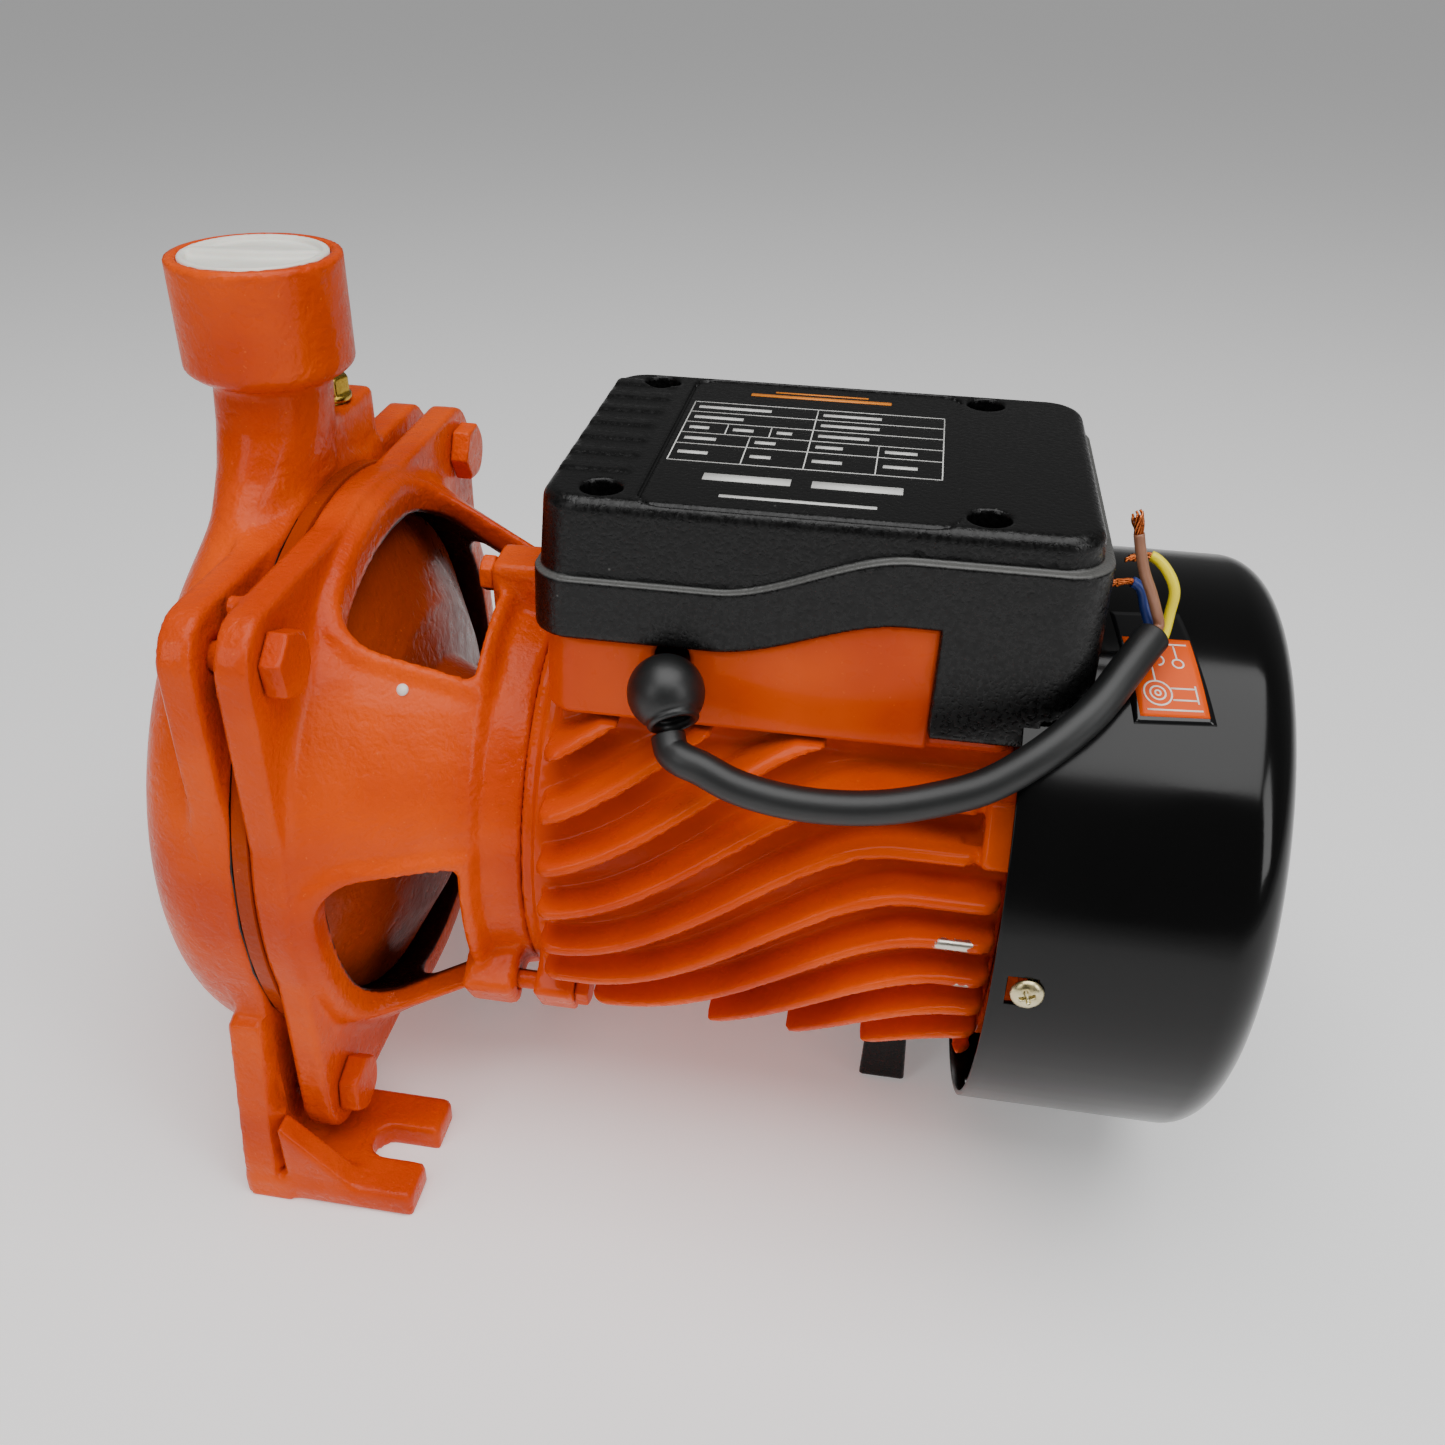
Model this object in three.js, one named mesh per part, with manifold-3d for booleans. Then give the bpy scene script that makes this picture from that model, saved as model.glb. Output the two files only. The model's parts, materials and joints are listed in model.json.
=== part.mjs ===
// Close-coupled centrifugal water pump: cast volute, bracket, finned motor, terminal box and lead.
// Millimetres, +Z up. The shaft runs along X with the inlet at -X and the cooling fan at +X.
// Shapes are drawn with the shaft on the X axis and X = 0 where casing and bracket meet;
// one group then stands the pump on its foot with the origin at the middle of its base.

import * as THREE from 'three';
import { mergeVertices } from 'three/addons/utils/BufferGeometryUtils.js';
import Module from 'manifold-3d';

const wasm = await Module();
wasm.setup();

// ---------------------------------------------------------------- driving dimensions
const shaftHeight = 106;          // foot to shaft centre
const gap = 0.3;                  // between pieces that touch

const inletFace = -65;            // along the shaft
const portRadius = 24.75;         // boss of a 1 1/4 inch port
const threadRadius = 21;          // port bore
const passageRadius = 16;
const outletX = -14;
const outletTop = 161;            // above the shaft

const voluteRadius = 96.5;
const voluteFront = -35;
const cavityRadius = 83.5;
const flangeBoltCircle = 110;
const earRadius = 14.5;
const earGap = 3;                 // half the gap between the two flanges at the ears
const voluteFlange = [-12.5, -earGap];
const bracketFlange = [earGap, 12.5];

const footHalfWidth = 105;
const footThickness = 9;
const footFront = -14;
const footRear = 41;
const slotY = 83.5;
const slotRadius = 6.25;

const ringEnd = 70.7;             // bracket to motor joint
const ringRadius = 63.5;
const motorFront = 71;
const motorRear = 208.5;
const barrelRadius = 66;
const barrelBore = 62.3;
const finRadius = 78;

const tieCircle = 72;
const tieAngles = [-33, 207, 87];
const shieldAngles = [31, 151, 271];

const boxFront = 73.5;
const boxRear = 223;
const boxHalfWidth = 56;
const boxFloor = 56.5;
const boxTop = 118.7;

const fanCoverFront = 206;
const fanCoverRear = 277;
const fanCoverRadius = 88;

const cordRadius = 4.6;

// ---------------------------------------------------------------- materials
const finish = (color, roughness, metalness) =>
  new THREE.MeshStandardMaterial({ color, roughness, metalness });
const orangePaint = finish(0xe0500a, 0.45, 0.0);
const blackPlastic = finish(0x161614, 0.5, 0.0);
const glossBlack = finish(0x0e0e0e, 0.2, 0.0);
const rubber = finish(0x1e1f1f, 0.8, 0.0);
const brass = finish(0xc9a84a, 0.35, 1.0);
const steel = finish(0x9a9a98, 0.4, 1.0);
const zincSteel = finish(0xb9a766, 0.35, 1.0);
const copper = finish(0xb8693c, 0.4, 1.0);
const whitePlastic = finish(0xe8e6dc, 0.6, 0.0);
const graphite = finish(0x2b2b2d, 0.5, 0.2);
const ceramic = finish(0xe6e2d8, 0.4, 0.0);
const lamination = finish(0x77797c, 0.5, 0.8);

// ---------------------------------------------------------------- solids
const degrees = Math.PI / 180;

// A closed mesh becomes a solid: one vertex per corner, no slivers, faces pointing out.
function solid(geometry) {
  const bare = geometry.index ? geometry.toNonIndexed() : geometry.clone();
  bare.deleteAttribute('normal');
  bare.deleteAttribute('uv');
  const merged = mergeVertices(bare, 1e-4);
  const position = merged.attributes.position.array;
  const corner = (i) => new THREE.Vector3().fromArray(position, 3 * i);
  const triangles = [];
  let volume = 0;
  for (let i = 0; i < merged.index.count; i += 3) {
    const [a, b, c] = merged.index.array.slice(i, i + 3);
    if (a !== b && b !== c && c !== a) {
      triangles.push([a, b, c]);
      volume += corner(a).dot(corner(b).cross(corner(c)));
    }
  }
  const turned = volume < 0 ? triangles.map(([a, b, c]) => [a, c, b]) : triangles;
  const vertProperties = new Float32Array(position);
  const triVerts = new Uint32Array(turned.flat());
  return new wasm.Manifold(new wasm.Mesh({ numProp: 3, vertProperties, triVerts }));
}

function surface(body) {
  const mesh = body.getMesh();
  const geometry = new THREE.BufferGeometry();
  geometry.setAttribute('position', new THREE.BufferAttribute(mesh.vertProperties, 3));
  geometry.setIndex(new THREE.BufferAttribute(mesh.triVerts, 1));
  const flat = geometry.toNonIndexed();
  flat.computeVertexNormals();
  return flat;
}

const join = (first, ...others) => others.reduce((sum, other) => sum.add(other), first);
const cut = (first, ...others) => others.reduce((rest, other) => rest.subtract(other), first);

// A profile of [x, radius] points turned about the shaft axis.
function turned(profile, segments = 40) {
  const points = profile.map(([x, r]) => new THREE.Vector2(r, x));
  const closed = points[0].equals(points.at(-1)) ? points : [...points, points[0].clone()];
  const geometry = new THREE.LatheGeometry(closed, segments);
  geometry.rotateZ(-90 * degrees);
  return solid(geometry);
}

function rodX(x0, x1, radius, y = 0, z = 0, segments = 16) {
  const geometry = new THREE.CylinderGeometry(radius, radius, x1 - x0, segments);
  geometry.rotateZ(-90 * degrees);
  geometry.translate((x0 + x1) / 2, y, z);
  return solid(geometry);
}

function rodY(y0, y1, radius, x = 0, z = 0, segments = 16) {
  const geometry = new THREE.CylinderGeometry(radius, radius, y1 - y0, segments);
  geometry.translate(x, (y0 + y1) / 2, z);
  return solid(geometry);
}

function rodZ(z0, z1, lower, upper = lower, x = 0, y = 0, segments = 32) {
  const geometry = new THREE.CylinderGeometry(upper, lower, z1 - z0, segments);
  geometry.rotateX(90 * degrees);
  geometry.translate(x, y, (z0 + z1) / 2);
  return solid(geometry);
}

function block(x0, x1, y0, y1, z0, z1) {
  const geometry = new THREE.BoxGeometry(x1 - x0, y1 - y0, z1 - z0);
  geometry.translate((x0 + x1) / 2, (y0 + y1) / 2, (z0 + z1) / 2);
  return solid(geometry);
}

// An outline in (y, z) carried along the shaft from x0 to x1.
function slabX(outline, x0, x1, curveSegments = 8) {
  const geometry = new THREE.ExtrudeGeometry(outline, {
    depth: x1 - x0, bevelEnabled: false, curveSegments,
  });
  const axes = new THREE.Matrix4().set(0, 0, 1, x0, 1, 0, 0, 0, 0, 1, 0, 0, 0, 0, 0, 1);
  return solid(geometry.applyMatrix4(axes));
}

// An outline in (x, z) carried across the pump from y0 to y1.
function slabY(outline, y0, y1, curveSegments = 8) {
  const geometry = new THREE.ExtrudeGeometry(outline, {
    depth: y1 - y0, bevelEnabled: false, curveSegments,
  });
  const axes = new THREE.Matrix4().set(1, 0, 0, 0, 0, 0, 1, y0, 0, 1, 0, 0, 0, 0, 0, 1);
  return solid(geometry.applyMatrix4(axes));
}

// An outline in (x, y) carried upwards from z0 to z1.
function slabZ(outline, z0, z1, curveSegments = 6) {
  const geometry = new THREE.ExtrudeGeometry(outline, {
    depth: z1 - z0, bevelEnabled: false, curveSegments,
  });
  return solid(geometry.translate(0, 0, z0));
}

function polygon(points) {
  return new THREE.Shape(points.map(([a, b]) => new THREE.Vector2(a, b)));
}

function roundedRectangle(x0, x1, y0, y1, radius) {
  const shape = new THREE.Shape();
  shape.moveTo(x0 + radius, y0);
  shape.lineTo(x1 - radius, y0);
  shape.absarc(x1 - radius, y0 + radius, radius, -90 * degrees, 0);
  shape.lineTo(x1, y1 - radius);
  shape.absarc(x1 - radius, y1 - radius, radius, 0, 90 * degrees);
  shape.lineTo(x0 + radius, y1);
  shape.absarc(x0 + radius, y1 - radius, radius, 90 * degrees, 180 * degrees);
  shape.lineTo(x0, y0 + radius);
  shape.absarc(x0 + radius, y0 + radius, radius, 180 * degrees, 270 * degrees);
  return shape;
}

// Rings of equally many points, one above the other, skinned and capped.
function lofted(rings) {
  const count = rings[0].length;
  const points = rings.flat();
  const faces = [];
  for (let level = 0; level + 1 < rings.length; level += 1) {
    for (let i = 0; i < count; i += 1) {
      const a = level * count + i;
      const b = level * count + ((i + 1) % count);
      faces.push([a, b, b + count], [a, b + count, a + count]);
    }
  }
  const top = (rings.length - 1) * count;
  for (let i = 1; i + 1 < count; i += 1) {
    faces.push([0, i + 1, i], [top, top + i, top + i + 1]);
  }
  const geometry = new THREE.BufferGeometry();
  const corners = faces.flat().flatMap((index) => points[index]);
  geometry.setAttribute('position', new THREE.Float32BufferAttribute(corners, 3));
  return solid(geometry);
}

// A hexagon prism along X, measured across its flats.
const hexX = (x0, x1, acrossFlats, y, z) => rodX(x0, x1, acrossFlats / Math.sqrt(3), y, z, 6);

// Turned about the shaft; angle 0 faces -Y and 90 faces +Z.
function aroundShaft(body, angle) {
  return body.rotate([-angle, 0, 0]);
}

const shaftPoint = (radius, angle) => [
  -radius * Math.cos(angle * degrees),
  radius * Math.sin(angle * degrees),
];

// ---------------------------------------------------------------- the assembly
const pump = new THREE.Group();
const frame = new THREE.Group();
frame.position.set(-(inletFace + fanCoverRear) / 2, 0, shaftHeight);
pump.add(frame);

function add(name, body, material) {
  const mesh = new THREE.Mesh(surface(body), material);
  mesh.name = name;
  frame.add(mesh);
}

// ---------------------------------------------------------------- flanges
const boltPlaces = [45, 135, 225, 315].map((angle) => shaftPoint(flangeBoltCircle, angle));

// Four round ears joined by nearly straight sides, with the round body bulging between them.
function flange([x0, x1], bodyRadius) {
  const reach = flangeBoltCircle * Math.SQRT1_2 + earRadius;
  const corner = earRadius;
  const square = roundedRectangle(-reach, reach, -reach, reach, corner);
  return join(slabX(square, x0, x1, 4), rodX(x0, x1, bodyRadius, 0, 0, 32));
}

const boltHoles = (x0, x1, radius) =>
  boltPlaces.map(([y, z]) => rodX(x0 - 1, x1 + 1, radius, y, z, 12));

// ---------------------------------------------------------------- volute casing
const plugY = 30;
const plugZ = 110;
const plugX = -11;
const drainZ = -72;

function ellipseRing(z, x, rx, ry, count = 16) {
  const ring = [];
  for (let i = 0; i < count; i += 1) {
    const turn = (2 * Math.PI * i) / count;
    ring.push([x + rx * Math.cos(turn), ry * Math.sin(turn), z]);
  }
  return ring;
}

function outletNeck() {
  const levels = [
    [60, -18, 13, 62], [80, -17.5, 13.5, 52], [92, -17, 14.5, 38], [104, -16, 15.5, 25],
    [115, -15, 16.5, 18.5], [126, outletX, 17, 17], [134, outletX, portRadius, portRadius],
    [outletTop, outletX, portRadius, portRadius],
  ];
  return lofted(levels.map(([z, x, rx, ry]) => ellipseRing(z, x, rx, ry)));
}

function casingFoot() {
  const bottom = -shaftHeight;
  const legOutline = polygon([
    [-footHalfWidth, bottom], [footHalfWidth, bottom],
    [footHalfWidth, bottom + 12], [96, -40], [-96, -40], [-footHalfWidth, bottom + 12],
  ]);
  const aboveFoot = block(voluteFlange[1], 5, -120, 120, -97.2, 0);
  const leg = cut(slabX(legOutline, footFront, 2), aboveFoot);
  const arch = slabX(roundedRectangle(-46, 46, bottom - 40, -90, 10), footFront - 1, 3);
  const feet = [-1, 1].map((side) => {
    const yIn = side > 0 ? 62 : -footHalfWidth;
    const yOut = side > 0 ? footHalfWidth : -62;
    const pad = slabZ(roundedRectangle(footFront, footRear, yIn, yOut, 3), bottom,
      bottom + footThickness);
    const gusset = slabY(
      polygon([[1, bottom + 4], [19, bottom + 4], [18, bottom + footThickness], [1, -76]]),
      side > 0 ? footHalfWidth - 8 : -footHalfWidth + 1,
      side > 0 ? footHalfWidth - 1 : -footHalfWidth + 8,
    );
    const slot = join(
      rodZ(bottom - 1, bottom + footThickness + 1, slotRadius, slotRadius, 27, side * slotY, 16),
      block(27, footRear + 1, side * slotY - slotRadius, side * slotY + slotRadius,
        bottom - 1, bottom + footThickness + 1),
    );
    return cut(join(pad, gusset), slot);
  });
  return join(cut(leg, arch), ...feet);
}

function voluteCasing() {
  const outside = turned([
    [voluteFront, 0], [voluteFront, 74], [voluteFront + 2, 83], [voluteFront + 6, 90],
    [voluteFront + 12, 95], [voluteFront + 19, voluteRadius],
    [voluteFlange[1], voluteRadius], [voluteFlange[1], 0],
  ], 32);
  const inletBoss = turned([
    [inletFace, 0], [inletFace, portRadius], [-44, portRadius], [-38, 29], [-32, 38], [-30, 0],
  ], 24);
  const primingBoss = block(-20, -3.5, 14, 46, 60, plugZ);
  const drainBoss = rodX(-37, -28, 11, 0, drainZ);
  const neck = cut(outletNeck(), block(voluteFlange[1], 8, -80, 80, 40, 97.5));
  const shell = join(outside, flange(voluteFlange, voluteRadius), inletBoss, neck,
    casingFoot(), primingBoss, drainBoss);
  const cavity = turned([
    [-26, 0], [-26, 68], [-23, 78], [-17, cavityRadius], [5, cavityRadius], [5, 0],
  ], 32);
  const inletBore = turned([
    [inletFace - 1, 0], [inletFace - 1, threadRadius], [-47, threadRadius],
    [-45, passageRadius], [-20, passageRadius], [-20, 0],
  ], 20);
  const outletBore = join(
    rodZ(141, outletTop + 1, threadRadius, threadRadius, outletX, 0, 20),
    rodZ(60, 142, 12, passageRadius - 3, outletX, 0, 16),
  );
  return cut(shell, cavity, inletBore, outletBore, ...boltHoles(footFront - 1, 3, 4.4),
    rodZ(70, plugZ + 1, 5.4, 5.4, plugX, plugY, 12), rodX(-40, -20, 5.4, 0, drainZ, 12));
}

add('volute_casing', voluteCasing(), orangePaint);

// A screwed plug with a hexagon head, along +Z with its collar at z = 0.
function hexPlug(acrossFlats, headHeight, threadLength) {
  const head = rodZ(2, 2 + headHeight, acrossFlats / Math.sqrt(3), acrossFlats / Math.sqrt(3),
    0, 0, 6);
  return join(head, rodZ(0, 2.01, acrossFlats * 0.62, acrossFlats * 0.62, 0, 0, 12),
    rodZ(-threadLength, 0.01, 5, 5, 0, 0, 12));
}

add('priming_plug', hexPlug(11, 6, 11).translate([plugX, plugY, plugZ + gap]), brass);
add('drain_plug', hexPlug(11, 5, 8).rotate([0, -90, 0]).translate([-37 - gap, 0, drainZ]), brass);

// Push-in caps of the two ports: a shallow cup inside the thread with a low middle rib.
function portCap() {
  const radius = threadRadius - gap;
  const cup = cut(rodZ(-14, 0, radius - 0.6, radius, 0, 0, 20),
    rodZ(-15, -2, radius - 2.6, radius - 2.6, 0, 0, 20));
  return join(cup, block(-radius + 3, radius - 3, -2, 2, -0.5, 1.2));
}

add('outlet_cap', portCap().rotate([0, 0, 100]).translate([outletX, 0, outletTop - 1.3]),
  whitePlastic);
add('inlet_cap', portCap().rotate([0, -90, 0]).translate([inletFace + 1.3, 0, 0]), whitePlastic);

// ---------------------------------------------------------------- back plate and seal
const plateRadius = 96;

add('casing_gasket', turned([
  [-2.7, cavityRadius + 1], [-2.7, plateRadius], [-2.1, plateRadius], [-2.1, cavityRadius + 1],
], 32), graphite);

function backPlate() {
  return turned([
    [-1.8, plateRadius], [2.7, plateRadius], [2.7, 82.5], [9, 80], [24, 52], [27, 34],
    [38, 30], [38, 9.5], [34, 9.5], [34, 16], [22, 16], [22, 48], [6, 76],
    [-1.8, 82.8],
  ], 28);
}

add('back_plate', backPlate(), orangePaint);
add('seal_seat', turned([[26.6, 9.5], [33.7, 9.5], [33.7, 15.7], [26.6, 15.7]], 20), ceramic);

const shaftRadius = 8.5;
const sealRadius = 7;

add('seal_rotary', turned([
  [26.3, sealRadius + gap], [26.3, 11.5], [22, 12.5], [20, 15], [4, 15], [4, sealRadius + gap],
], 20), graphite);

// ---------------------------------------------------------------- impeller
const vaneSteps = 3;

function vaneOutline(turn) {
  const shape = new THREE.Shape();
  const side = (offset) => {
    const points = [];
    for (let i = 0; i <= vaneSteps; i += 1) {
      const t = i / vaneSteps;
      const r = 19 + 48 * t;
      const angle = turn + offset / r - 1.15 * t;
      points.push(new THREE.Vector2(r * Math.cos(angle), r * Math.sin(angle)));
    }
    return points;
  };
  shape.setFromPoints([...side(-1.5), ...side(1.5).reverse()]);
  return shape;
}

function impeller() {
  const back = turned([
    [-7.5, 6.5], [-7.5, 68], [-4.5, 68], [-4.5, 24], [3.6, 13], [3.6, 7.3], [-15, 7.3],
    [-15, 12], [-7.5, 16],
  ], 24);
  const front = turned([
    [-20, 17.5], [-20, 68], [-17.5, 68], [-17.5, 22], [-24.5, 20], [-24.5, 17.5],
  ], 24);
  const vanes = [0, 1, 2, 3, 4, 5].map((i) =>
    slabX(vaneOutline(i * 60 * degrees), -17.6, -7.4));
  return cut(join(back, front, ...vanes), rodX(-30, 10, sealRadius + gap, 0, 0, 16));
}

add('impeller', impeller(), brass);
add('impeller_nut', cut(
  join(hexX(-24, -17, 17, 0, 0), rodX(-17.1, -15.3, 10.5, 0, 0, 16)),
  rodX(-30, 0, 5.3, 0, 0, 16),
), brass);

// ---------------------------------------------------------------- shaft and rotor
add('shaft', turned([
  [-27, 0], [-27, 4], [-26, 5], [-15.3, 5], [-15, sealRadius], [41, sealRadius],
  [41.3, shaftRadius], [92, shaftRadius], [92.3, 12], [184, 12], [184.3, shaftRadius - 1],
  [222, shaftRadius - 1], [222.3, 6], [250, 6], [250, 0],
], 16), steel);
add('slinger', turned([
  [44, shaftRadius + gap], [44, 20], [46, 22], [48, 20], [50, 12], [50, shaftRadius + gap],
], 20), rubber);
add('rotor_core', turned([[96, 12.3], [96, 33], [178, 33], [178, 12.3]], 24), lamination);

function bearing(x0, x1, inner, outer) {
  return turned([
    [x0, inner], [x0, inner + 2.3], [x0 + 1, inner + 2.3], [x0 + 1, outer - 2.3],
    [x0, outer - 2.3], [x0, outer], [x1, outer], [x1, inner],
  ], 20);
}

add('front_bearing', bearing(57, 69, shaftRadius + gap, 20), steel);
add('rear_bearing', bearing(190, 201, shaftRadius - 1 + gap, 17.5), steel);

// ---------------------------------------------------------------- bracket
const windows = [
  { angle: -15.5, half: 23.5 }, { angle: 81, half: 28 },
  { angle: 164.5, half: 23.5 }, { angle: 261, half: 28 },
];

// A window is a rounded trapezoid in (tangent, x), carried outwards through the wall.
function windowCutter({ angle, half }) {
  const wide = 88 * Math.sin(half * degrees);
  const narrow = 71 * Math.sin(half * degrees);
  const [x0, x1] = [17.5, 54];
  const round = 15;
  const small = 3;
  const shape = new THREE.Shape();
  shape.moveTo(x1, -narrow + small);
  shape.lineTo(x1, narrow - small);
  shape.quadraticCurveTo(x1, narrow, x1 - small, narrow + 0.4);
  shape.lineTo(x0 + round, wide - 3);
  shape.quadraticCurveTo(x0, wide, x0, wide - round - 3);
  shape.lineTo(x0, -wide + round + 3);
  shape.quadraticCurveTo(x0, -wide, x0 + round, -wide + 3);
  shape.lineTo(x1 - small, -narrow - 0.4);
  shape.quadraticCurveTo(x1, -narrow, x1, -narrow + small);
  const geometry = new THREE.ExtrudeGeometry(shape, {
    depth: 70, bevelEnabled: false, curveSegments: 4,
  });
  const outward = new THREE.Matrix4().set(1, 0, 0, 0, 0, 0, -1, -45, 0, 1, 0, 0, 0, 0, 0, 1);
  return aroundShaft(solid(geometry.applyMatrix4(outward)), angle);
}

// A block standing on the round body at one angle, from radius r0 to r1.
function radialBlock(x0, x1, r0, r1, halfWidth, angle) {
  return aroundShaft(block(x0, x1, -r1, -r0, -halfWidth, halfWidth), angle);
}

function bracket() {
  const outside = turned([
    [bracketFlange[0], 0], [bracketFlange[0], 92], [bracketFlange[1] + 1, 92],
    [bracketFlange[1] + 5, 90], [26, 85], [38, 79], [50, 73], [57, 69.5], [60, 66],
    [ringEnd, ringRadius], [ringEnd, 0],
  ], 32);
  const inside = turned([
    [0, 0], [0, 83.6], [13, 82.5], [26, 78], [50, 65], [54, 61], [54, 0],
  ], 32);
  const hollow = turned([[62, 24], [62, 58], [ringEnd + 1, 58], [ringEnd + 1, 24]], 24);
  const seat = turned([
    [50, 0], [50, 12], [56.7, 12], [56.7, 20.3], [ringEnd + 1, 20.3], [ringEnd + 1, 0],
  ], 20);
  const lugs = tieAngles.map((angle) => radialBlock(51, 67.5, 58, 79, 8, angle));
  const holes = tieAngles.map((angle) => {
    const [y, z] = shaftPoint(tieCircle, angle);
    return rodX(50, 68, 3.3, y, z, 10);
  });
  const shell = cut(join(flange(bracketFlange, 96), outside), inside, hollow, seat);
  const opened = cut(shell, ...windows.map(windowCutter));
  return cut(join(opened, ...lugs), ...holes, ...boltHoles(...bracketFlange, 4.4));
}

add('bracket', bracket(), orangePaint);

boltPlaces.forEach(([y, z], i) => {
  const bolt = join(
    hexX(bracketFlange[1] + gap, bracketFlange[1] + gap + 6.4, 17, y, z),
    rodX(voluteFlange[0] - 1, bracketFlange[1] + gap + 0.1, 4.1, y, z, 10),
  );
  add(`flange_bolt_${i + 1}`, bolt, orangePaint);
});

// ---------------------------------------------------------------- motor housing
const finCount = 11;

// The top lug ends short of the terminal box, so its screw goes in from the bracket.
const lugSpan = (angle) => (angle === tieAngles[2] ? [73.5, 76.4] : [74, 86]);

const smoothStep = (t) => {
  const s = Math.min(Math.max(t, 0), 1);
  return s * s * (3 - 2 * s);
};

// Height of fin k at x: level, a long S upwards, and level again.
function finHeight(k, x) {
  const length = 95;
  const right = 33.5 - 12 * (k - 5);
  const rise = 44.5 + 1.1 * (k - 5);
  const middle = 131 + 6 * (k - 5);
  return right - rise * (1 - smoothStep((x - middle + length / 2) / length));
}

const finLimits = { low: -38.5, high: 54.5 };

// The seventh fin starts behind the lower tie screw; the upper ones end at the rear lug.
function fin(k, side) {
  const upper = [];
  const lower = [];
  const steps = 10;
  const [x0, x1] = [k === 7 ? 92 : 79, k < 6 ? 200 : 207];
  for (let i = 0; i <= steps; i += 1) {
    const x = x0 + ((x1 - x0) * i) / steps;
    const z = finHeight(k, x);
    if (z > finLimits.low && z < finLimits.high) {
      upper.push([x, z + 1.6]);
      lower.push([x, z - 1.6]);
    }
  }
  if (upper.length < 2) {
    return null;
  }
  const outline = polygon([...lower, ...upper.reverse()]);
  return side < 0 ? slabY(outline, -finRadius, -30) : slabY(outline, 30, finRadius);
}

function motorHousing() {
  const barrel = turned([
    [motorFront, barrelBore], [motorFront, ringRadius + 0.5], [motorFront + 4, ringRadius + 0.5],
    [motorFront + 5, barrelRadius], [motorRear, barrelRadius], [motorRear, barrelBore],
  ], 32);
  const envelope = turned([
    [motorFront, barrelBore + 1], [motorFront, finRadius], [motorRear, finRadius],
    [motorRear, barrelBore + 1],
  ], 28);
  const fins = [];
  for (let k = 1; k <= finCount; k += 1) {
    fins.push(fin(k, -1), fin(k, 1));
  }
  const clipped = join(...fins.filter((piece) => piece)).intersect(envelope);
  const frontLugs = tieAngles.map((angle) =>
    radialBlock(...lugSpan(angle), 63.5, 78, 8, angle));
  const rearLugs = shieldAngles.map((angle) =>
    radialBlock(200, motorRear, 63.5, 79, 9, angle));
  const padBore = rodX(60, 230, barrelBore + 1, 0, 0, 32);
  const pad = cut(block(80, 206, -46, 46, 40, boxFloor - gap), padBore);
  const footBoss = cut(block(172, 196, -20, 20, -70, -60), padBore);
  const wireHole = rodZ(50, 70, 9, 9, 120, 0, 12);
  const tieHoles = tieAngles.map((angle) => {
    const [y, z] = shaftPoint(tieCircle, angle);
    return rodX(70, 95, 3.3, y, z, 10);
  });
  const shieldHoles = shieldAngles.map((angle) => {
    const [y, z] = shaftPoint(tieCircle, angle);
    return rodX(198, motorRear + 1, 3.3, y, z, 10);
  });
  const underBox = cut(
    block(79.8, 230, -60, 60, boxFloor - gap, 90),
    rodX(60, 240, barrelRadius + 0.1, 0, 0, 32),
  );
  const body = join(barrel, clipped, ...frontLugs, ...rearLugs, pad, footBoss);
  return cut(body, ...tieHoles, ...shieldHoles, wireHole, underBox);
}

add('motor_housing', motorHousing(), orangePaint);

tieAngles.forEach((angle, i) => {
  const [y, z] = shaftPoint(tieCircle, angle);
  const [lugStart, lugEnd] = lugSpan(angle);
  const screw = angle === tieAngles[2]
    ? join(hexX(46.5, 51 - gap, 10, y, z), rodX(50.6, lugStart + 2.5, 3, y, z, 10))
    : join(hexX(lugEnd + gap, lugEnd + 4.5, 10, y, z), rodX(52, lugEnd + 0.4, 3, y, z, 10));
  add(`tie_screw_${i + 1}`, screw, orangePaint);
});

// ---------------------------------------------------------------- stator
add('stator_core', turned([[92, 34], [92, 62], [180, 62], [180, 34]], 28), lamination);

const winding = (x0, x1) => turned([
  [x0, 40], [x0, 54], [x0 + 3, 58], [x1 - 3, 58], [x1, 54], [x1, 40], [x1 - 3, 37], [x0 + 3, 37],
], 24);

add('stator_winding_front', winding(76, 91.7), copper);
add('stator_winding_rear', winding(180.3, 188), copper);

// ---------------------------------------------------------------- rear end shield, fan, cover
function endShield() {
  const disc = turned([
    [motorRear + gap, 69], [219.5, 69], [219.5, 64.5], [213.5, 64.5], [213.5, 60],
    [208.5, 26], [208.5, 12], [204, 9], [201.3, 9],
    [201.3, 17.8], [190, 17.8], [190, 22], [205, 27], [205, 61.7],
    [motorRear + gap, 61.7],
  ], 20);
  const ears = shieldAngles.map((angle) =>
    radialBlock(motorRear + gap, 213.5, 60, 77, 8, angle));
  const holes = shieldAngles.map((angle) => {
    const [y, z] = shaftPoint(tieCircle, angle);
    return join(rodX(206, 214, 3.3, y, z, 10), rodX(213.5, 221, 5.2, y, z, 14));
  });
  return cut(join(disc, ...ears), ...holes);
}

add('rear_end_shield', endShield(), orangePaint);

shieldAngles.forEach((angle, i) => {
  const [y, z] = shaftPoint(tieCircle, angle);
  const screw = join(hexX(213.5 + gap, 217.5, 8, y, z), rodX(201, 214, 3, y, z, 10));
  add(`shield_screw_${i + 1}`, screw, steel);
});

function coolingFan() {
  const hub = turned([
    [225, 6.3], [225, 12], [232, 14], [236, 40], [236, 58], [238.5, 58], [238.5, 40],
    [240, 14], [248, 11], [248, 6.3],
  ], 16);
  const blade = block(237, 256, -66, -16, -1.2, 1.2);
  const blades = [0, 1, 2, 3, 4, 5, 6].map((i) => aroundShaft(blade, (i * 360) / 7));
  return join(hub, ...blades);
}

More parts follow.
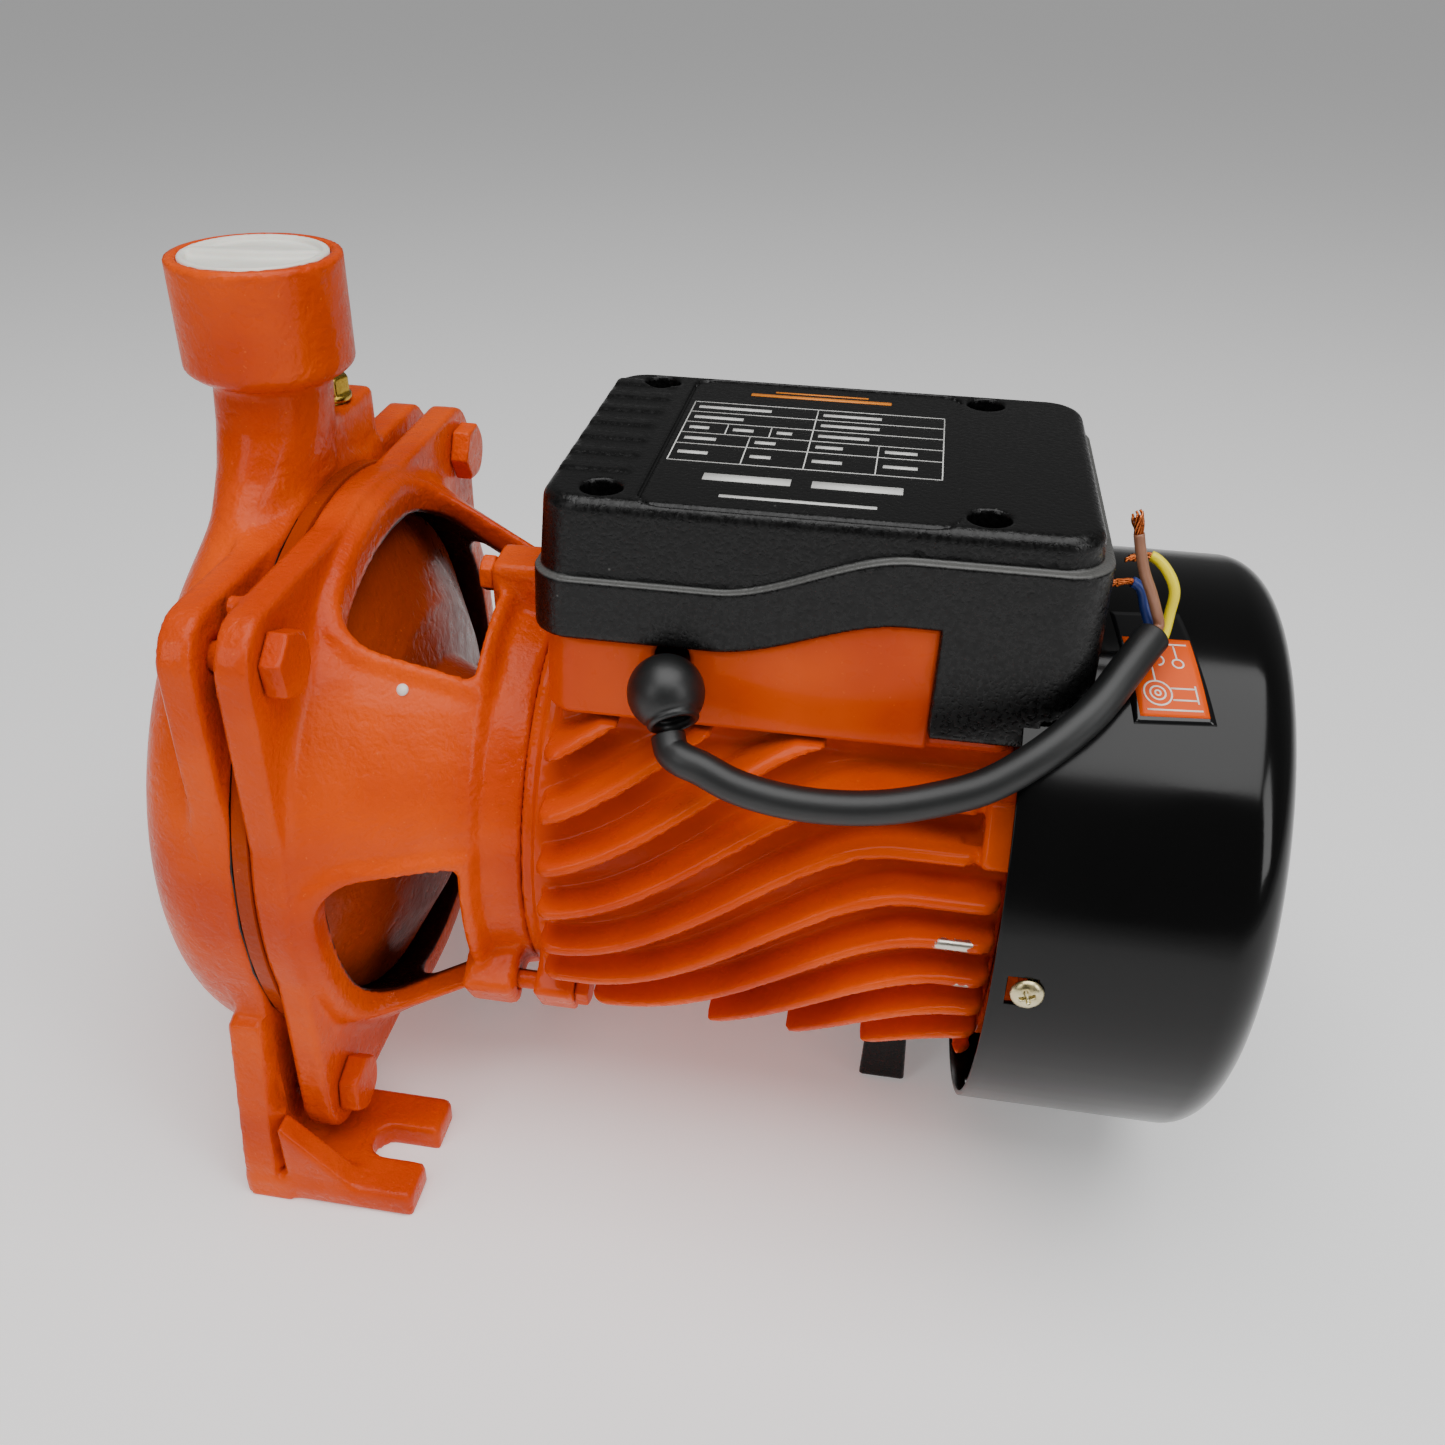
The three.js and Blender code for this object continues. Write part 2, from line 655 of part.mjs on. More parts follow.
add('cooling_fan', coolingFan(), blackPlastic);
add('fan_clip', turned([[248.3, 6.3], [248.3, 11], [249.5, 11], [249.5, 6.3]], 20), steel);

const coverScrewAngles = [4, 176, 240, 300];
const coverScrewX = fanCoverFront + 9.5;

function fanCover() {
  const wall = 1.6;
  const r = fanCoverRadius;
  const shell = turned([
    [fanCoverFront, r - wall], [fanCoverFront, r], [fanCoverRear - 11, r],
    [fanCoverRear - 6.5, r - 1.2], [fanCoverRear - 2.8, r - 4], [fanCoverRear - 0.6, r - 8],
    [fanCoverRear, r - 12], [fanCoverRear, 12], [fanCoverRear - wall, 12],
    [fanCoverRear - wall, r - 12], [fanCoverRear - 4, r - 5.5], [fanCoverRear - 8, r - wall - 1.4],
    [fanCoverRear - 12, r - wall],
  ], 32);
  const middle = rodX(fanCoverRear - wall, fanCoverRear, 12.5, 0, 0, 20);
  const grille = [];
  const count = 8;
  for (let row = 0; row < 2; row += 1) {
    const radius = 22 + row * 26;
    for (let i = 0; i < count; i += 1) {
      const hole = radialBlock(fanCoverRear - 3, fanCoverRear + 1, radius, radius + 20,
        3 + row * 3, (360 * (i + (row % 2) / 2)) / count);
      grille.push(hole);
    }
  }
  const slots = coverScrewAngles.map((angle) =>
    radialBlock(coverScrewX - 2.5, coverScrewX + 2.5, r - 5, r + 5, 4.5, angle));
  return cut(join(shell, middle), ...grille, ...slots);
}

add('fan_cover', fanCover(), glossBlack);

coverScrewAngles.forEach((angle, i) => {
  const head = rodY(-fanCoverRadius - 2.2, -fanCoverRadius - gap, 4.6, coverScrewX, 0, 16);
  const shank = rodY(-fanCoverRadius - 0.4, -69.4, 2, coverScrewX, 0, 10);
  add(`fan_cover_screw_${i + 1}`, aroundShaft(join(head, shank), angle), zincSteel);
});

// ---------------------------------------------------------------- motor support foot
function supportFoot() {
  const side = polygon([
    [175, -shaftHeight], [194, -shaftHeight], [192, -70.3], [176, -70.3],
  ]);
  const body = slabY(side, -19, 19);
  return cut(body, block(171, 190.5, -16, 16, -shaftHeight - 1, -74));
}

add('support_foot', supportFoot(), blackPlastic);

// ---------------------------------------------------------------- terminal box
const boxRise = (x) => smoothStep((x - 124) / 50);

// The joint between orange base and black cover runs level, rises in an S and runs level.
function boxJoint(lowLevel, highLevel) {
  const points = [];
  for (let x = 124; x <= 174; x += 5) {
    points.push([x, lowLevel + (highLevel - lowLevel) * boxRise(x)]);
  }
  return points;
}

const saddle = join(
  rodX(60, 240, barrelRadius + 0.7, 0, 0, 32),
  rodX(fanCoverFront - 0.6, 240, fanCoverRadius + 1, 0, 0, 40),
);

// Box walls lean in towards the top.
function draftedBox(x0, x1, halfWidth, z0, z1, radius, lean) {
  const ring = (inset, z) => {
    const shape = roundedRectangle(x0 + inset, x1 - inset, -halfWidth + inset,
      halfWidth - inset, radius);
    return shape.getPoints(3).slice(0, -1).map((p) => [p.x, p.y, z]);
  };
  return lofted([ring(0, z0), ring(lean, z1)]);
}

const skirtStart = 182.5;

function boxBase() {
  const outer = draftedBox(77, 206, 54.2, boxFloor, 96, 10, 1.2);
  const inner = draftedBox(80, 203, 51.2, 71, 97, 8, 1.2);
  const top = boxJoint(80.5, 92.5);
  const aboveJoint = slabY(polygon([
    [70, top[0][1]], ...top, [230, top.at(-1)[1]], [230, 130], [70, 130],
  ]), -70, 70);
  const frontCover = cut(
    block(skirtStart - gap, 240, -70, 70, 50, 130),
    draftedBox(100, 205, 52.4, 40, 130, 8, 0),
  );
  const lead = rodY(-60, -40, 5, 113.5, 76.5, 12);
  const wires = rodZ(50, 75, 8, 8, 120, 0, 12);
  return cut(outer, inner, aboveJoint, frontCover, saddle, lead, wires);
}

add('terminal_box_base', boxBase(), orangePaint);

const coverScrewPlaces = [
  [92.8, -42.7], [190.7, -42.7], [92.8, 42.7], [190.7, 42.7],
];

function boxCover() {
  const r = 12;
  const lower = draftedBox(boxFront, boxRear + 1, boxHalfWidth + 0.4, 61.5, 106, r, 1.2);
  const upper = draftedBox(boxFront + 0.9, boxRear - 0.4, boxHalfWidth - 1.2, 96, boxTop, r, 1.6);
  const innerLow = draftedBox(boxFront + 2.4, boxRear - 2, boxHalfWidth - 1.5, 60, 94, 8, 0.2);
  const innerHigh = draftedBox(boxFront + 4, boxRear - 4, boxHalfWidth - 5, 92, boxTop - 3.5, 8, 1);
  const bottom = boxJoint(80.8, 92.8);
  const belowJoint = slabY(polygon([
    [70, 40], [skirtStart, 40], [skirtStart, bottom.at(-1)[1]],
    ...bottom.slice().reverse(), [70, bottom[0][1]],
  ]), -70, 70);
  const groove = boxJoint(97.5, 110.5);
  const grooveOutline = [[70, 97.5], ...groove, [230, 110.5]];
  const aboveGroove = slabY(polygon([
    ...grooveOutline, [230, 106 + 20], [70, 106 + 20],
  ]), -70, 70);
  const shell = join(cut(lower, aboveGroove), upper);
  const bosses = coverScrewPlaces.map(([x, y]) => rodZ(94.5, boxTop - 2, 7.2, 7.2, x, y, 12));
  const holes = coverScrewPlaces.map(([x, y]) => join(
    rodZ(100, boxTop + 1, 5.5, 5.5, x, y, 12), rodZ(90, 101, 2.4, 2.4, x, y, 8),
  ));
  const label = slabZ(roundedRectangle(104, 184, -46, 46, 5), boxTop - 0.8, boxTop + 1);
  const hollow = cut(shell, innerLow, cut(innerHigh, ...bosses), belowJoint, saddle);
  return cut(hollow, ...holes, label);
}

add('terminal_box_cover', boxCover(), blackPlastic);

coverScrewPlaces.forEach(([x, y], i) => {
  const screw = join(rodZ(100 + gap, 102.8, 4, 4, x, y, 12), rodZ(88, 100.4, 2, 2, x, y, 8));
  add(`box_screw_${i + 1}`, screw, zincSteel);
});

add('terminal_block', join(
  block(96, 134, 10, 30, 71.3, 80), block(99, 131, 13, 27, 79.9, 86),
), whitePlastic);
add('run_capacitor', rodX(138, 200, 15, 14, 88.6, 20), blackPlastic);

// ---------------------------------------------------------------- gland, lead and cores
const glandCentre = [113.5, -61.8, 71];
const routePoints = [
  [115.3, -68.2, 61.8], [116.9, -71.3, 59.2], [120, -73.6, 58.4], [125, -75, 57.4],
  [134, -77, 54.4], [146, -78.2, 52.4], [159, -78.4, 52], [172.4, -77.7, 53.2],
  [185, -76, 56], [197.3, -73.6, 60.2], [209, -68.6, 66.8], [218, -62.2, 72.9], [223.6, -56.6, 77.3],
  [229.2, -48.7, 82.6], [233.9, -41.6, 86.5], [236.1, -38.2, 88],
];

// A round rope of given radius along a smooth curve through hand-chosen points.
function rope(points, radius, sides, steps) {
  const curve = new THREE.CatmullRomCurve3(points.map((p) => new THREE.Vector3(...p)));
  const circle = [];
  for (let i = 0; i < sides; i += 1) {
    const turn = (2 * Math.PI * i) / sides;
    circle.push(new THREE.Vector2(radius * Math.cos(turn), radius * Math.sin(turn)));
  }
  const geometry = new THREE.ExtrudeGeometry(new THREE.Shape(circle), {
    steps, extrudePath: curve, bevelEnabled: false,
  });
  return solid(geometry);
}

const ball = solid(new THREE.SphereGeometry(10.3, 16, 10).translate(...glandCentre));
const wallPlane = block(90, 140, -54.5, -30, 50, 95);

add('cable_gland', cut(ball, wallPlane), rubber);
add('power_cable', rope(routePoints, cordRadius, 8, 22), rubber);

// The cores leave the cut end of the lead side by side, each in its own direction.
function core(name, turn, points, steps, color) {
  const [before, end] = routePoints.slice(-2).map((p) => new THREE.Vector3(...p));
  const out = end.clone().sub(before).normalize();
  const side = new THREE.Vector3(0, 0, 1).cross(out).normalize();
  const up = out.clone().cross(side);
  const start = end.clone().addScaledVector(out, 0.5)
    .addScaledVector(side, 2.2 * Math.cos(turn * degrees))
    .addScaledVector(up, 2.2 * Math.sin(turn * degrees));
  const second = start.clone().addScaledVector(out, 2);
  const route = [start.toArray(), second.toArray(), ...points];
  add(name, rope(route, 1.4, 8, steps), finish(color, 0.5, 0.0));
}

core('core_brown', 100, [
  [235.8, -36.5, 95], [233.8, -36.6, 99.5], [231, -36, 105], [228.9, -35, 111], [226.6, -34, 119.5],
], 12, 0x9a6e55);
core('core_earth', 220, [
  [240, -33.5, 93], [240, -32.5, 99], [237, -31, 104], [233, -29.5, 106.5], [228, -28.5, 105],
], 12, 0xd8d020);
core('core_blue', 340, [
  [233.8, -32, 93.5], [232, -31, 98], [229, -31, 99.8], [224.5, -32, 99.2],
], 10, 0x2a3a78);

export default pump;
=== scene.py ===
import json
import math
import bmesh
import bpy
import numpy as np
from mathutils import Matrix, Vector


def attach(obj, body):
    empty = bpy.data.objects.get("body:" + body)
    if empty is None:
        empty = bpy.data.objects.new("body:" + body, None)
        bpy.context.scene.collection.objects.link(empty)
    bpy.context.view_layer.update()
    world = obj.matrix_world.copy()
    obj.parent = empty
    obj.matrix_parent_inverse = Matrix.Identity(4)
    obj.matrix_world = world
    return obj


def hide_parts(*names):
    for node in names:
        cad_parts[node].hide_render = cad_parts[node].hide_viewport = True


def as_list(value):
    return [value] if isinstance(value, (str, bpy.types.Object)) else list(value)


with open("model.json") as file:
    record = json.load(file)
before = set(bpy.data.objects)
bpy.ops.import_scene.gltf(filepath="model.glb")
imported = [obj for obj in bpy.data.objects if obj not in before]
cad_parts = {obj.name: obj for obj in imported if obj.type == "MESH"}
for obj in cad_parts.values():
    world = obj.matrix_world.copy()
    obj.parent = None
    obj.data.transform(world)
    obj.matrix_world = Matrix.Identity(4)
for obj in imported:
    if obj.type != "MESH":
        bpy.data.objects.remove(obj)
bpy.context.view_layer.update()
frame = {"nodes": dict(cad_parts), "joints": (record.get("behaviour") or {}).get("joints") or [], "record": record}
spinJoint = next(joint for joint in frame["joints"] if joint["name"] == "rotor_spin")
shaftOrigin = np.array(spinJoint["pos_m"])  # on the shaft, where casing and bracket meet
mm = 0.001
print("frame loaded:", len(frame["nodes"]), "nodes")

# Shapes below are in millimetres from shaftOrigin: x runs along the shaft towards the fan,
# -y is the side of the lead, z is up. One function turns them into metres in the frame.


def inFrame(points):
    return np.asarray(points, float) * mm + shaftOrigin


# The camera.

cameraSetting = {
    "place": (167.39, -359.79, 250.97),  # mm from the shaft origin
    "pitch": 34.33, "yaw": -9.43, "roll": 0.96,  # degrees
    "lens": 33.395, "shift": (0.02865, 0.03792),
}


def makeCamera(setting):
    pitch, yaw, roll = (math.radians(setting[key]) for key in ("pitch", "yaw", "roll"))
    forward = Vector((math.sin(yaw) * math.cos(pitch), math.cos(yaw) * math.cos(pitch),
                      -math.sin(pitch)))
    level = Vector((math.cos(yaw), -math.sin(yaw), 0))
    upright = level.cross(forward)
    right = math.cos(roll) * level + math.sin(roll) * upright
    up = math.cos(roll) * upright - math.sin(roll) * level
    data = bpy.data.cameras.new("camera")
    data.lens = setting["lens"]
    data.shift_x, data.shift_y = setting["shift"]
    data.clip_start, data.clip_end = 0.02, 20
    camera = bpy.data.objects.new("camera", data)
    bpy.context.scene.collection.objects.link(camera)
    turn = Matrix((right, up, -forward)).transposed().to_4x4()
    camera.matrix_world = Matrix.Translation(Vector(inFrame(setting["place"]))) @ turn
    bpy.context.scene.camera = camera


makeCamera(cameraSetting)
print("camera set")


# Making meshes and pieces.

def buildMesh(name, points, faces):
    # Points in millimetres and equal-sided faces go into a mesh as whole arrays.
    mesh = bpy.data.meshes.new(name)
    mesh.vertices.add(len(points))
    mesh.vertices.foreach_set("co", inFrame(points).astype(np.float32).ravel())
    mesh.loops.add(faces.size)
    mesh.loops.foreach_set("vertex_index", faces.astype(np.int32).ravel())
    mesh.polygons.add(len(faces))
    starts = np.arange(0, faces.size, faces.shape[1], dtype=np.int32)
    mesh.polygons.foreach_set("loop_start", starts)
    mesh.update(calc_edges=True)
    return mesh


def addPiece(name, mesh, material, slotName, replaced=(), body="pump_body", mend=True, sharp=None):
    # mend joins doubled points, closes poles and turns every face outwards
    if mend:
        work = bmesh.new()
        work.from_mesh(mesh)
        bmesh.ops.remove_doubles(work, verts=work.verts, dist=2e-6)
        bmesh.ops.dissolve_degenerate(work, edges=work.edges, dist=1e-7)
        bmesh.ops.recalc_face_normals(work, faces=work.faces)
        work.to_mesh(mesh)
        work.free()
    mesh.polygons.foreach_set("use_smooth", np.ones(len(mesh.polygons), bool))
    if sharp:
        mesh.set_sharp_from_angle(angle=math.radians(sharp))
    mesh.materials.append(material)
    piece = bpy.data.objects.new(name, mesh)
    bpy.context.scene.collection.objects.link(piece)
    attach(piece, body)
    if replaced:
        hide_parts(*replaced)
    return piece


def gridFaces(rows, columns, wrapRows=False, wrapColumns=True):
    # Quads between the neighbours of a grid of points, closed on itself where asked.
    row = np.arange(rows if wrapRows else rows - 1)
    column = np.arange(columns if wrapColumns else columns - 1)
    row, column = np.meshgrid(row, column, indexing="ij")
    nextRow, nextColumn = (row + 1) % rows, (column + 1) % columns
    corners = [row * columns + column, nextRow * columns + column,
               nextRow * columns + nextColumn, row * columns + nextColumn]
    return np.stack(corners, -1).reshape(-1, 4)


def merged(shapes):
    # Several (points, faces) shapes become one.
    points, faces, count = [], [], 0
    for shapePoints, shapeFaces in shapes:
        points.append(shapePoints)
        faces.append(shapeFaces + count)
        count += len(shapePoints)
    return np.concatenate(points), np.concatenate(faces)


def roundedLine(corners, steps=6):
    # Corners are (a, b, radius); an arc tangent to both sides takes each corner's place.
    places = [np.array(corner[:2], float) for corner in corners]
    line = [places[0]]
    for before, here, after, corner in zip(places, places[1:], places[2:], corners[1:]):
        radius = corner[2] if len(corner) > 2 else 0
        if radius == 0:
            line.append(here)
            continue
        back, ahead = before - here, after - here
        back, ahead, room = (back / np.linalg.norm(back), ahead / np.linalg.norm(ahead),
                             0.49 * min(np.linalg.norm(back), np.linalg.norm(ahead)))
        half = 0.5 * math.acos(np.clip(back @ ahead, -1, 1))
        reach = min(radius / math.tan(half), room)
        size = reach * math.tan(half)
        middle = here + (back + ahead) / np.linalg.norm(back + ahead) * size / math.sin(half)
        start, end = here + back * reach - middle, here + ahead * reach - middle
        sweep = math.pi - 2 * half
        share = np.linspace(0, 1, steps + 1)[:, None]
        arc = (np.sin((1 - share) * sweep) * start + np.sin(share * sweep) * end) / math.sin(sweep)
        line.extend(middle + arc)
    line.append(places[-1])
    return np.array(line)


def turned(line, count=96, ring=False):
    # A line of (x, radius) carried round the x axis: y = -radius cos, z = radius sin.
    angle = np.arange(count) * 2 * np.pi / count
    x, radius = line[:, :1], line[:, 1:]
    points = np.stack([x + 0 * angle, -radius * np.cos(angle), radius * np.sin(angle)], -1)
    return points.reshape(-1, 3), gridFaces(len(line), count, wrapRows=ring)


def placed(shape, origin=(0, 0, 0), axis=(1, 0, 0), spin=0):
    # The shape's x axis is laid along the given axis, from the given origin.
    points, faces = shape
    ahead = np.array(axis, float) / np.linalg.norm(axis)
    guide = np.array([0, 0, 1.0]) if abs(ahead[2]) < 0.9 else np.array([1.0, 0, 0])
    side = np.cross(guide, ahead)
    side /= np.linalg.norm(side)
    top = np.cross(ahead, side)
    c, s = math.cos(math.radians(spin)), math.sin(math.radians(spin))
    side, top = c * side + s * top, c * top - s * side
    basis = np.stack([ahead, side, top])
    return points @ basis + np.array(origin, float), faces


def tube(path, radius, sides=24, taper=None):
    # A circle carried along a path without twisting, its ends closed by points on the path.
    path = np.asarray(path, float)
    along = np.gradient(path, axis=0)
    along /= np.linalg.norm(along, axis=1, keepdims=True)
    side = np.zeros_like(along)
    start = np.cross(along[0], [0.3, 0.2, 1.0])
    side[0] = start / np.linalg.norm(start)
    for i in range(1, len(path)):
        step = side[i - 1] - along[i] * (side[i - 1] @ along[i])
        side[i] = step / np.linalg.norm(step)
    top = np.cross(along, side)
    angle = np.arange(sides) * 2 * np.pi / sides
    size = radius if taper is None else radius * np.asarray(taper)[:, None, None]
    circle = np.cos(angle)[None, :, None] * side[:, None] + np.sin(angle)[None, :, None] * top[:, None]
    rings = path[:, None] + size * circle
    first, last = np.repeat(path[:1, None], sides, 1), np.repeat(path[-1:, None], sides, 1)
    points = np.concatenate([first, rings, last]).reshape(-1, 3)
    return points, gridFaces(len(path) + 2, sides)


def smoothPath(knots, perSpan=12):
    # The centripetal Catmull-Rom curve through the knots, by repeated mixing of neighbours.
    knots = np.asarray(knots, float)
    ends = np.stack([2 * knots[0] - knots[1], 2 * knots[-1] - knots[-2]])
    k = np.concatenate([ends[:1], knots, ends[1:]])
    t = np.concatenate([[0], np.cumsum(np.sqrt(np.linalg.norm(np.diff(k, axis=0), axis=1)))])
    spans = np.arange(len(knots) - 1)
    share = np.arange(perSpan) / perSpan
    t0, t1, t2, t3 = (t[spans + i][:, None, None] for i in range(4))
    p0, p1, p2, p3 = (k[spans + i][:, None, :] for i in range(4))
    now = t1 + (t2 - t1) * share[None, :, None]
    a1 = (t1 - now) / (t1 - t0) * p0 + (now - t0) / (t1 - t0) * p1
    a2 = (t2 - now) / (t2 - t1) * p1 + (now - t1) / (t2 - t1) * p2
    a3 = (t3 - now) / (t3 - t2) * p2 + (now - t2) / (t3 - t2) * p3
    b1 = (t2 - now) / (t2 - t0) * a1 + (now - t0) / (t2 - t0) * a2
    b2 = (t3 - now) / (t3 - t1) * a2 + (now - t1) / (t3 - t1) * a3
    curve = (t2 - now) / (t2 - t1) * b1 + (now - t1) / (t2 - t1) * b2
    return np.concatenate([curve.reshape(-1, 3), knots[-1:]])


# Castings and mouldings are fields: the distance to the shape, negative inside, worked out in
# all of space. A net of quads is drawn where it is zero, and joined shapes flow together.

def smoothMin(a, b, blend):
    # The smaller of two distances, less a parabola where they differ by under the blend.
    share = np.clip(0.5 + 0.5 * (b - a) / blend, 0, 1)
    return b + (a - b) * share - blend * share * (1 - share)


def smoothMax(a, b, blend):
    # The larger of two distances, rounded off in the same way.
    return -smoothMin(-a, -b, blend)


def rounded(overs, radius):
    # Distance to a box-like shape from how far a point is over each limit, edges rounded.
    shifted = [over + radius for over in overs]
    outside = np.sqrt(sum(np.maximum(value, 0) ** 2 for value in shifted))
    inside = shifted[0]
    for value in shifted[1:]:
        inside = np.maximum(inside, value)
    return outside + np.minimum(inside, 0) - radius


def between(value, low, high):
    # How far a value lies outside a span: its distance from the middle less half the width.
    return np.abs(value - (low + high) / 2) - (high - low) / 2


def rod(along, a, b, low, high, radius, edge=1.0):
    # A cylinder from low to high: distance from its axis less the radius, ends rounded.
    return rounded([np.hypot(a, b) - radius, between(along, low, high)], edge)


def block(x, y, z, xs, ys, zs, edge=1.0):
    # A box between three pairs of limits, edges rounded.
    return rounded([between(x, *xs), between(y, *ys), between(z, *zs)], edge)


def outline(a, b, corners):
    # Distance to the nearest side of a closed outline; inside when the sides to one hand of
    # the point are odd in number.
    corners = np.array(corners, float)
    nearest = np.full(np.shape(a), 1e9)
    inside = np.zeros(np.shape(a), bool)
    for (a0, b0), (a1, b1) in zip(corners, np.roll(corners, -1, 0)):
        da, db = a1 - a0, b1 - b0
        share = np.clip(((a - a0) * da + (b - b0) * db) / (da * da + db * db), 0, 1)
        nearest = np.minimum(nearest, (a - a0 - share * da) ** 2 + (b - b0 - share * db) ** 2)
        if b0 != b1:
            crosses = ((b0 > b) != (b1 > b)) & (a < a0 + (b - b0) * da / db)
            inside ^= crosses
    return np.where(inside, -1, 1) * np.sqrt(nearest)


def outward(y, z, angle):
    # Outward and tangent distances for a direction round the shaft; 0 faces -y, 90 faces +z.
    c, s = math.cos(math.radians(angle)), math.sin(math.radians(angle))
    return -y * c + z * s, y * s + z * c


def onCircle(radius, angle):
    # The point (y, z) of a circle round the shaft; 0 faces -y, 90 faces +z.
    return -radius * math.cos(math.radians(angle)), radius * math.sin(math.radians(angle))


def smoothStep(t):
    # Three times t squared less twice t cubed: level at both ends.
    t = np.clip(t, 0, 1)
    return t * t * (3 - 2 * t)


def neighbours(axis):
    # Slices of all the samples but the last, and of all but the first, along one axis.
    behind, ahead = [slice(None)] * 3, [slice(None)] * 3
    behind[axis], ahead[axis] = slice(None, -1), slice(1, None)
    return tuple(behind), tuple(ahead)


def fieldNet(field, low, high, cell, polish=2):
    # Each cell that the surface crosses gets one point; each crossed edge gets one quad.
    # The field is first sampled in coarse blocks, then finely only where it is near zero.
    coarse, low = 4, np.array(low, float)
    count = np.ceil((np.array(high) - low) / cell / coarse).astype(int)
    middles = [low[i] + (np.arange(count[i]) + 0.5) * coarse * cell for i in range(3)]
    rough = field(*np.meshgrid(*middles, indexing="ij"))
    active = np.abs(rough) < 1.15 * coarse * cell
    for axis in range(3):
        rough, active = np.repeat(rough, coarse, axis), np.repeat(active, coarse, axis)
    pad = [(0, 1)] * 3
    values = np.pad(rough, pad, mode="edge")
    mask = np.pad(active, pad)
    for axis in range(3):
        behind, ahead = neighbours(axis)
        mask[ahead] |= mask[behind].copy()
    where = np.argwhere(mask)
    values[mask] = field(*(low[i] + where[:, i] * cell for i in range(3)))
    shape = np.array(values.shape) - 1
    total, hits, quads = np.zeros((3, shape.prod())), np.zeros(shape.prod()), []
    for axis in range(3):
        behind, ahead = neighbours(axis)
        start, end = values[behind], values[ahead]
        edge = np.argwhere((start < 0) != (end < 0))
        edge = edge[np.all((edge > 0) & (edge < shape), axis=1)]
        a, b = start[tuple(edge.T)], end[tuple(edge.T)]
        spot = edge.astype(float)
        spot[:, axis] += a / (a - b)
        u, v = (axis + 1) % 3, (axis + 2) % 3
        around = []
        for stepU, stepV in ((0, 0), (-1, 0), (-1, -1), (0, -1)):
            cellAt = edge.copy()
            cellAt[:, u] += stepU
            cellAt[:, v] += stepV
            number = np.ravel_multi_index(cellAt.T, shape)
            around.append(number)
            hits += np.bincount(number, minlength=len(hits))
            for i in range(3):
                total[i] += np.bincount(number, spot[:, i], len(hits))
        quad = np.stack(around, 1)
        quad[a >= 0] = quad[a >= 0][:, ::-1]
        quads.append(quad)
    used = np.flatnonzero(hits)
    rename = np.full(len(hits), -1)
    rename[used] = np.arange(len(used))
    faces = rename[np.concatenate(quads)]
    points = (total[:, used] / hits[used]).T * cell + low
    sides = np.concatenate([faces[:, [i, (i + 1) % 4]] for i in range(4)])
    degree = np.bincount(sides[:, 0], minlength=len(points)).astype(float)
    # Each round moves a point halfway to the mean of its neighbours, then back to the surface.
    for _ in range(polish):
        drawn = np.stack([np.bincount(sides[:, 0], points[sides[:, 1], i], len(points))
                          for i in range(3)], 1) / degree[:, None]
        points = ontoField(field, 0.5 * points + 0.5 * drawn, cell)
    return ontoField(field, points, cell), faces


def ontoField(field, points, cell):
    # Newton's step along the steepest slope brings each point onto the surface.
    probe = 0.04
    height = field(*points.T)
    slope = np.stack([
        field(*(points + probe * unit).T) - field(*(points - probe * unit).T)
        for unit in np.eye(3)], 1) / (2 * probe)
    steep = np.maximum((slope ** 2).sum(1), 0.2)
    step = slope * (height / steep)[:, None]
    length = np.linalg.norm(step, axis=1, keepdims=True)
    return points - step * np.minimum(1, 0.6 * cell / np.maximum(length, 1e-9))


# Materials.

def toLinear(code):
    # An sRGB hex colour becomes linear light.
    parts = [int(code[i:i + 2], 16) / 255 for i in (1, 3, 5)]
    return tuple(p / 12.92 if p < 0.04045 else ((p + 0.055) / 1.055) ** 2.4 for p in parts) + (1,)


def addNode(tree, kind, settings=None, links=None):
    # settings hold attributes or socket values by name; links hold a socket to read from.
    node = tree.nodes.new(kind)
    for name, value in (settings or {}).items():
        if isinstance(name, str) and hasattr(node, name):
            setattr(node, name, value)
        else:
            node.inputs[name].default_value = value
    for name, socket in (links or {}).items():
        tree.links.new(socket, node.inputs[name])
    return node


def newMaterial(name, colour, roughness, metallic=0.0, **sockets):
    material = bpy.data.materials.new(name)
    material.use_nodes = True
    tree = material.node_tree
    shader = tree.nodes["Principled BSDF"]
    shader.inputs["Base Color"].default_value = toLinear(colour)
    shader.inputs["Roughness"].default_value = roughness
    shader.inputs["Metallic"].default_value = metallic
    for socket, value in sockets.items():
        shader.inputs[socket.replace("_", " ")].default_value = value
    return material, tree, shader


def noiseAt(tree, place, size, detail=2.0, roughness=0.5, distortion=0.0):
    # Noise whose grains are about size millimetres across.
    return addNode(tree, "ShaderNodeTexNoise", {
        "Scale": 1000 / (2 * size), "Detail": detail, "Roughness": roughness,
        "Distortion": distortion}, {"Vector": place}).outputs["Fac"]


def ramp(tree, value, low, high, first, last):
    # A value between low and high becomes one between first and last.
    return addNode(tree, "ShaderNodeMapRange", {
        "From Min": low, "From Max": high, "To Min": first, "To Max": last},
        {"Value": value}).outputs["Result"]


def mixColours(tree, share, first, last):
    # Each colour is a hex code or a socket; share 0 gives the first and 1 the last.
    node = addNode(tree, "ShaderNodeMix", {"data_type": "RGBA"}, {0: share})
    for place, colour in ((6, first), (7, last)):
        if isinstance(colour, str):
            node.inputs[place].default_value = toLinear(colour)
        else:
            tree.links.new(colour, node.inputs[place])
    return node.outputs[2]


def calculated(tree, operation, first, second):
    return addNode(tree, "ShaderNodeMath", {"operation": operation},
                   {0: first, 1: second}).outputs[0]


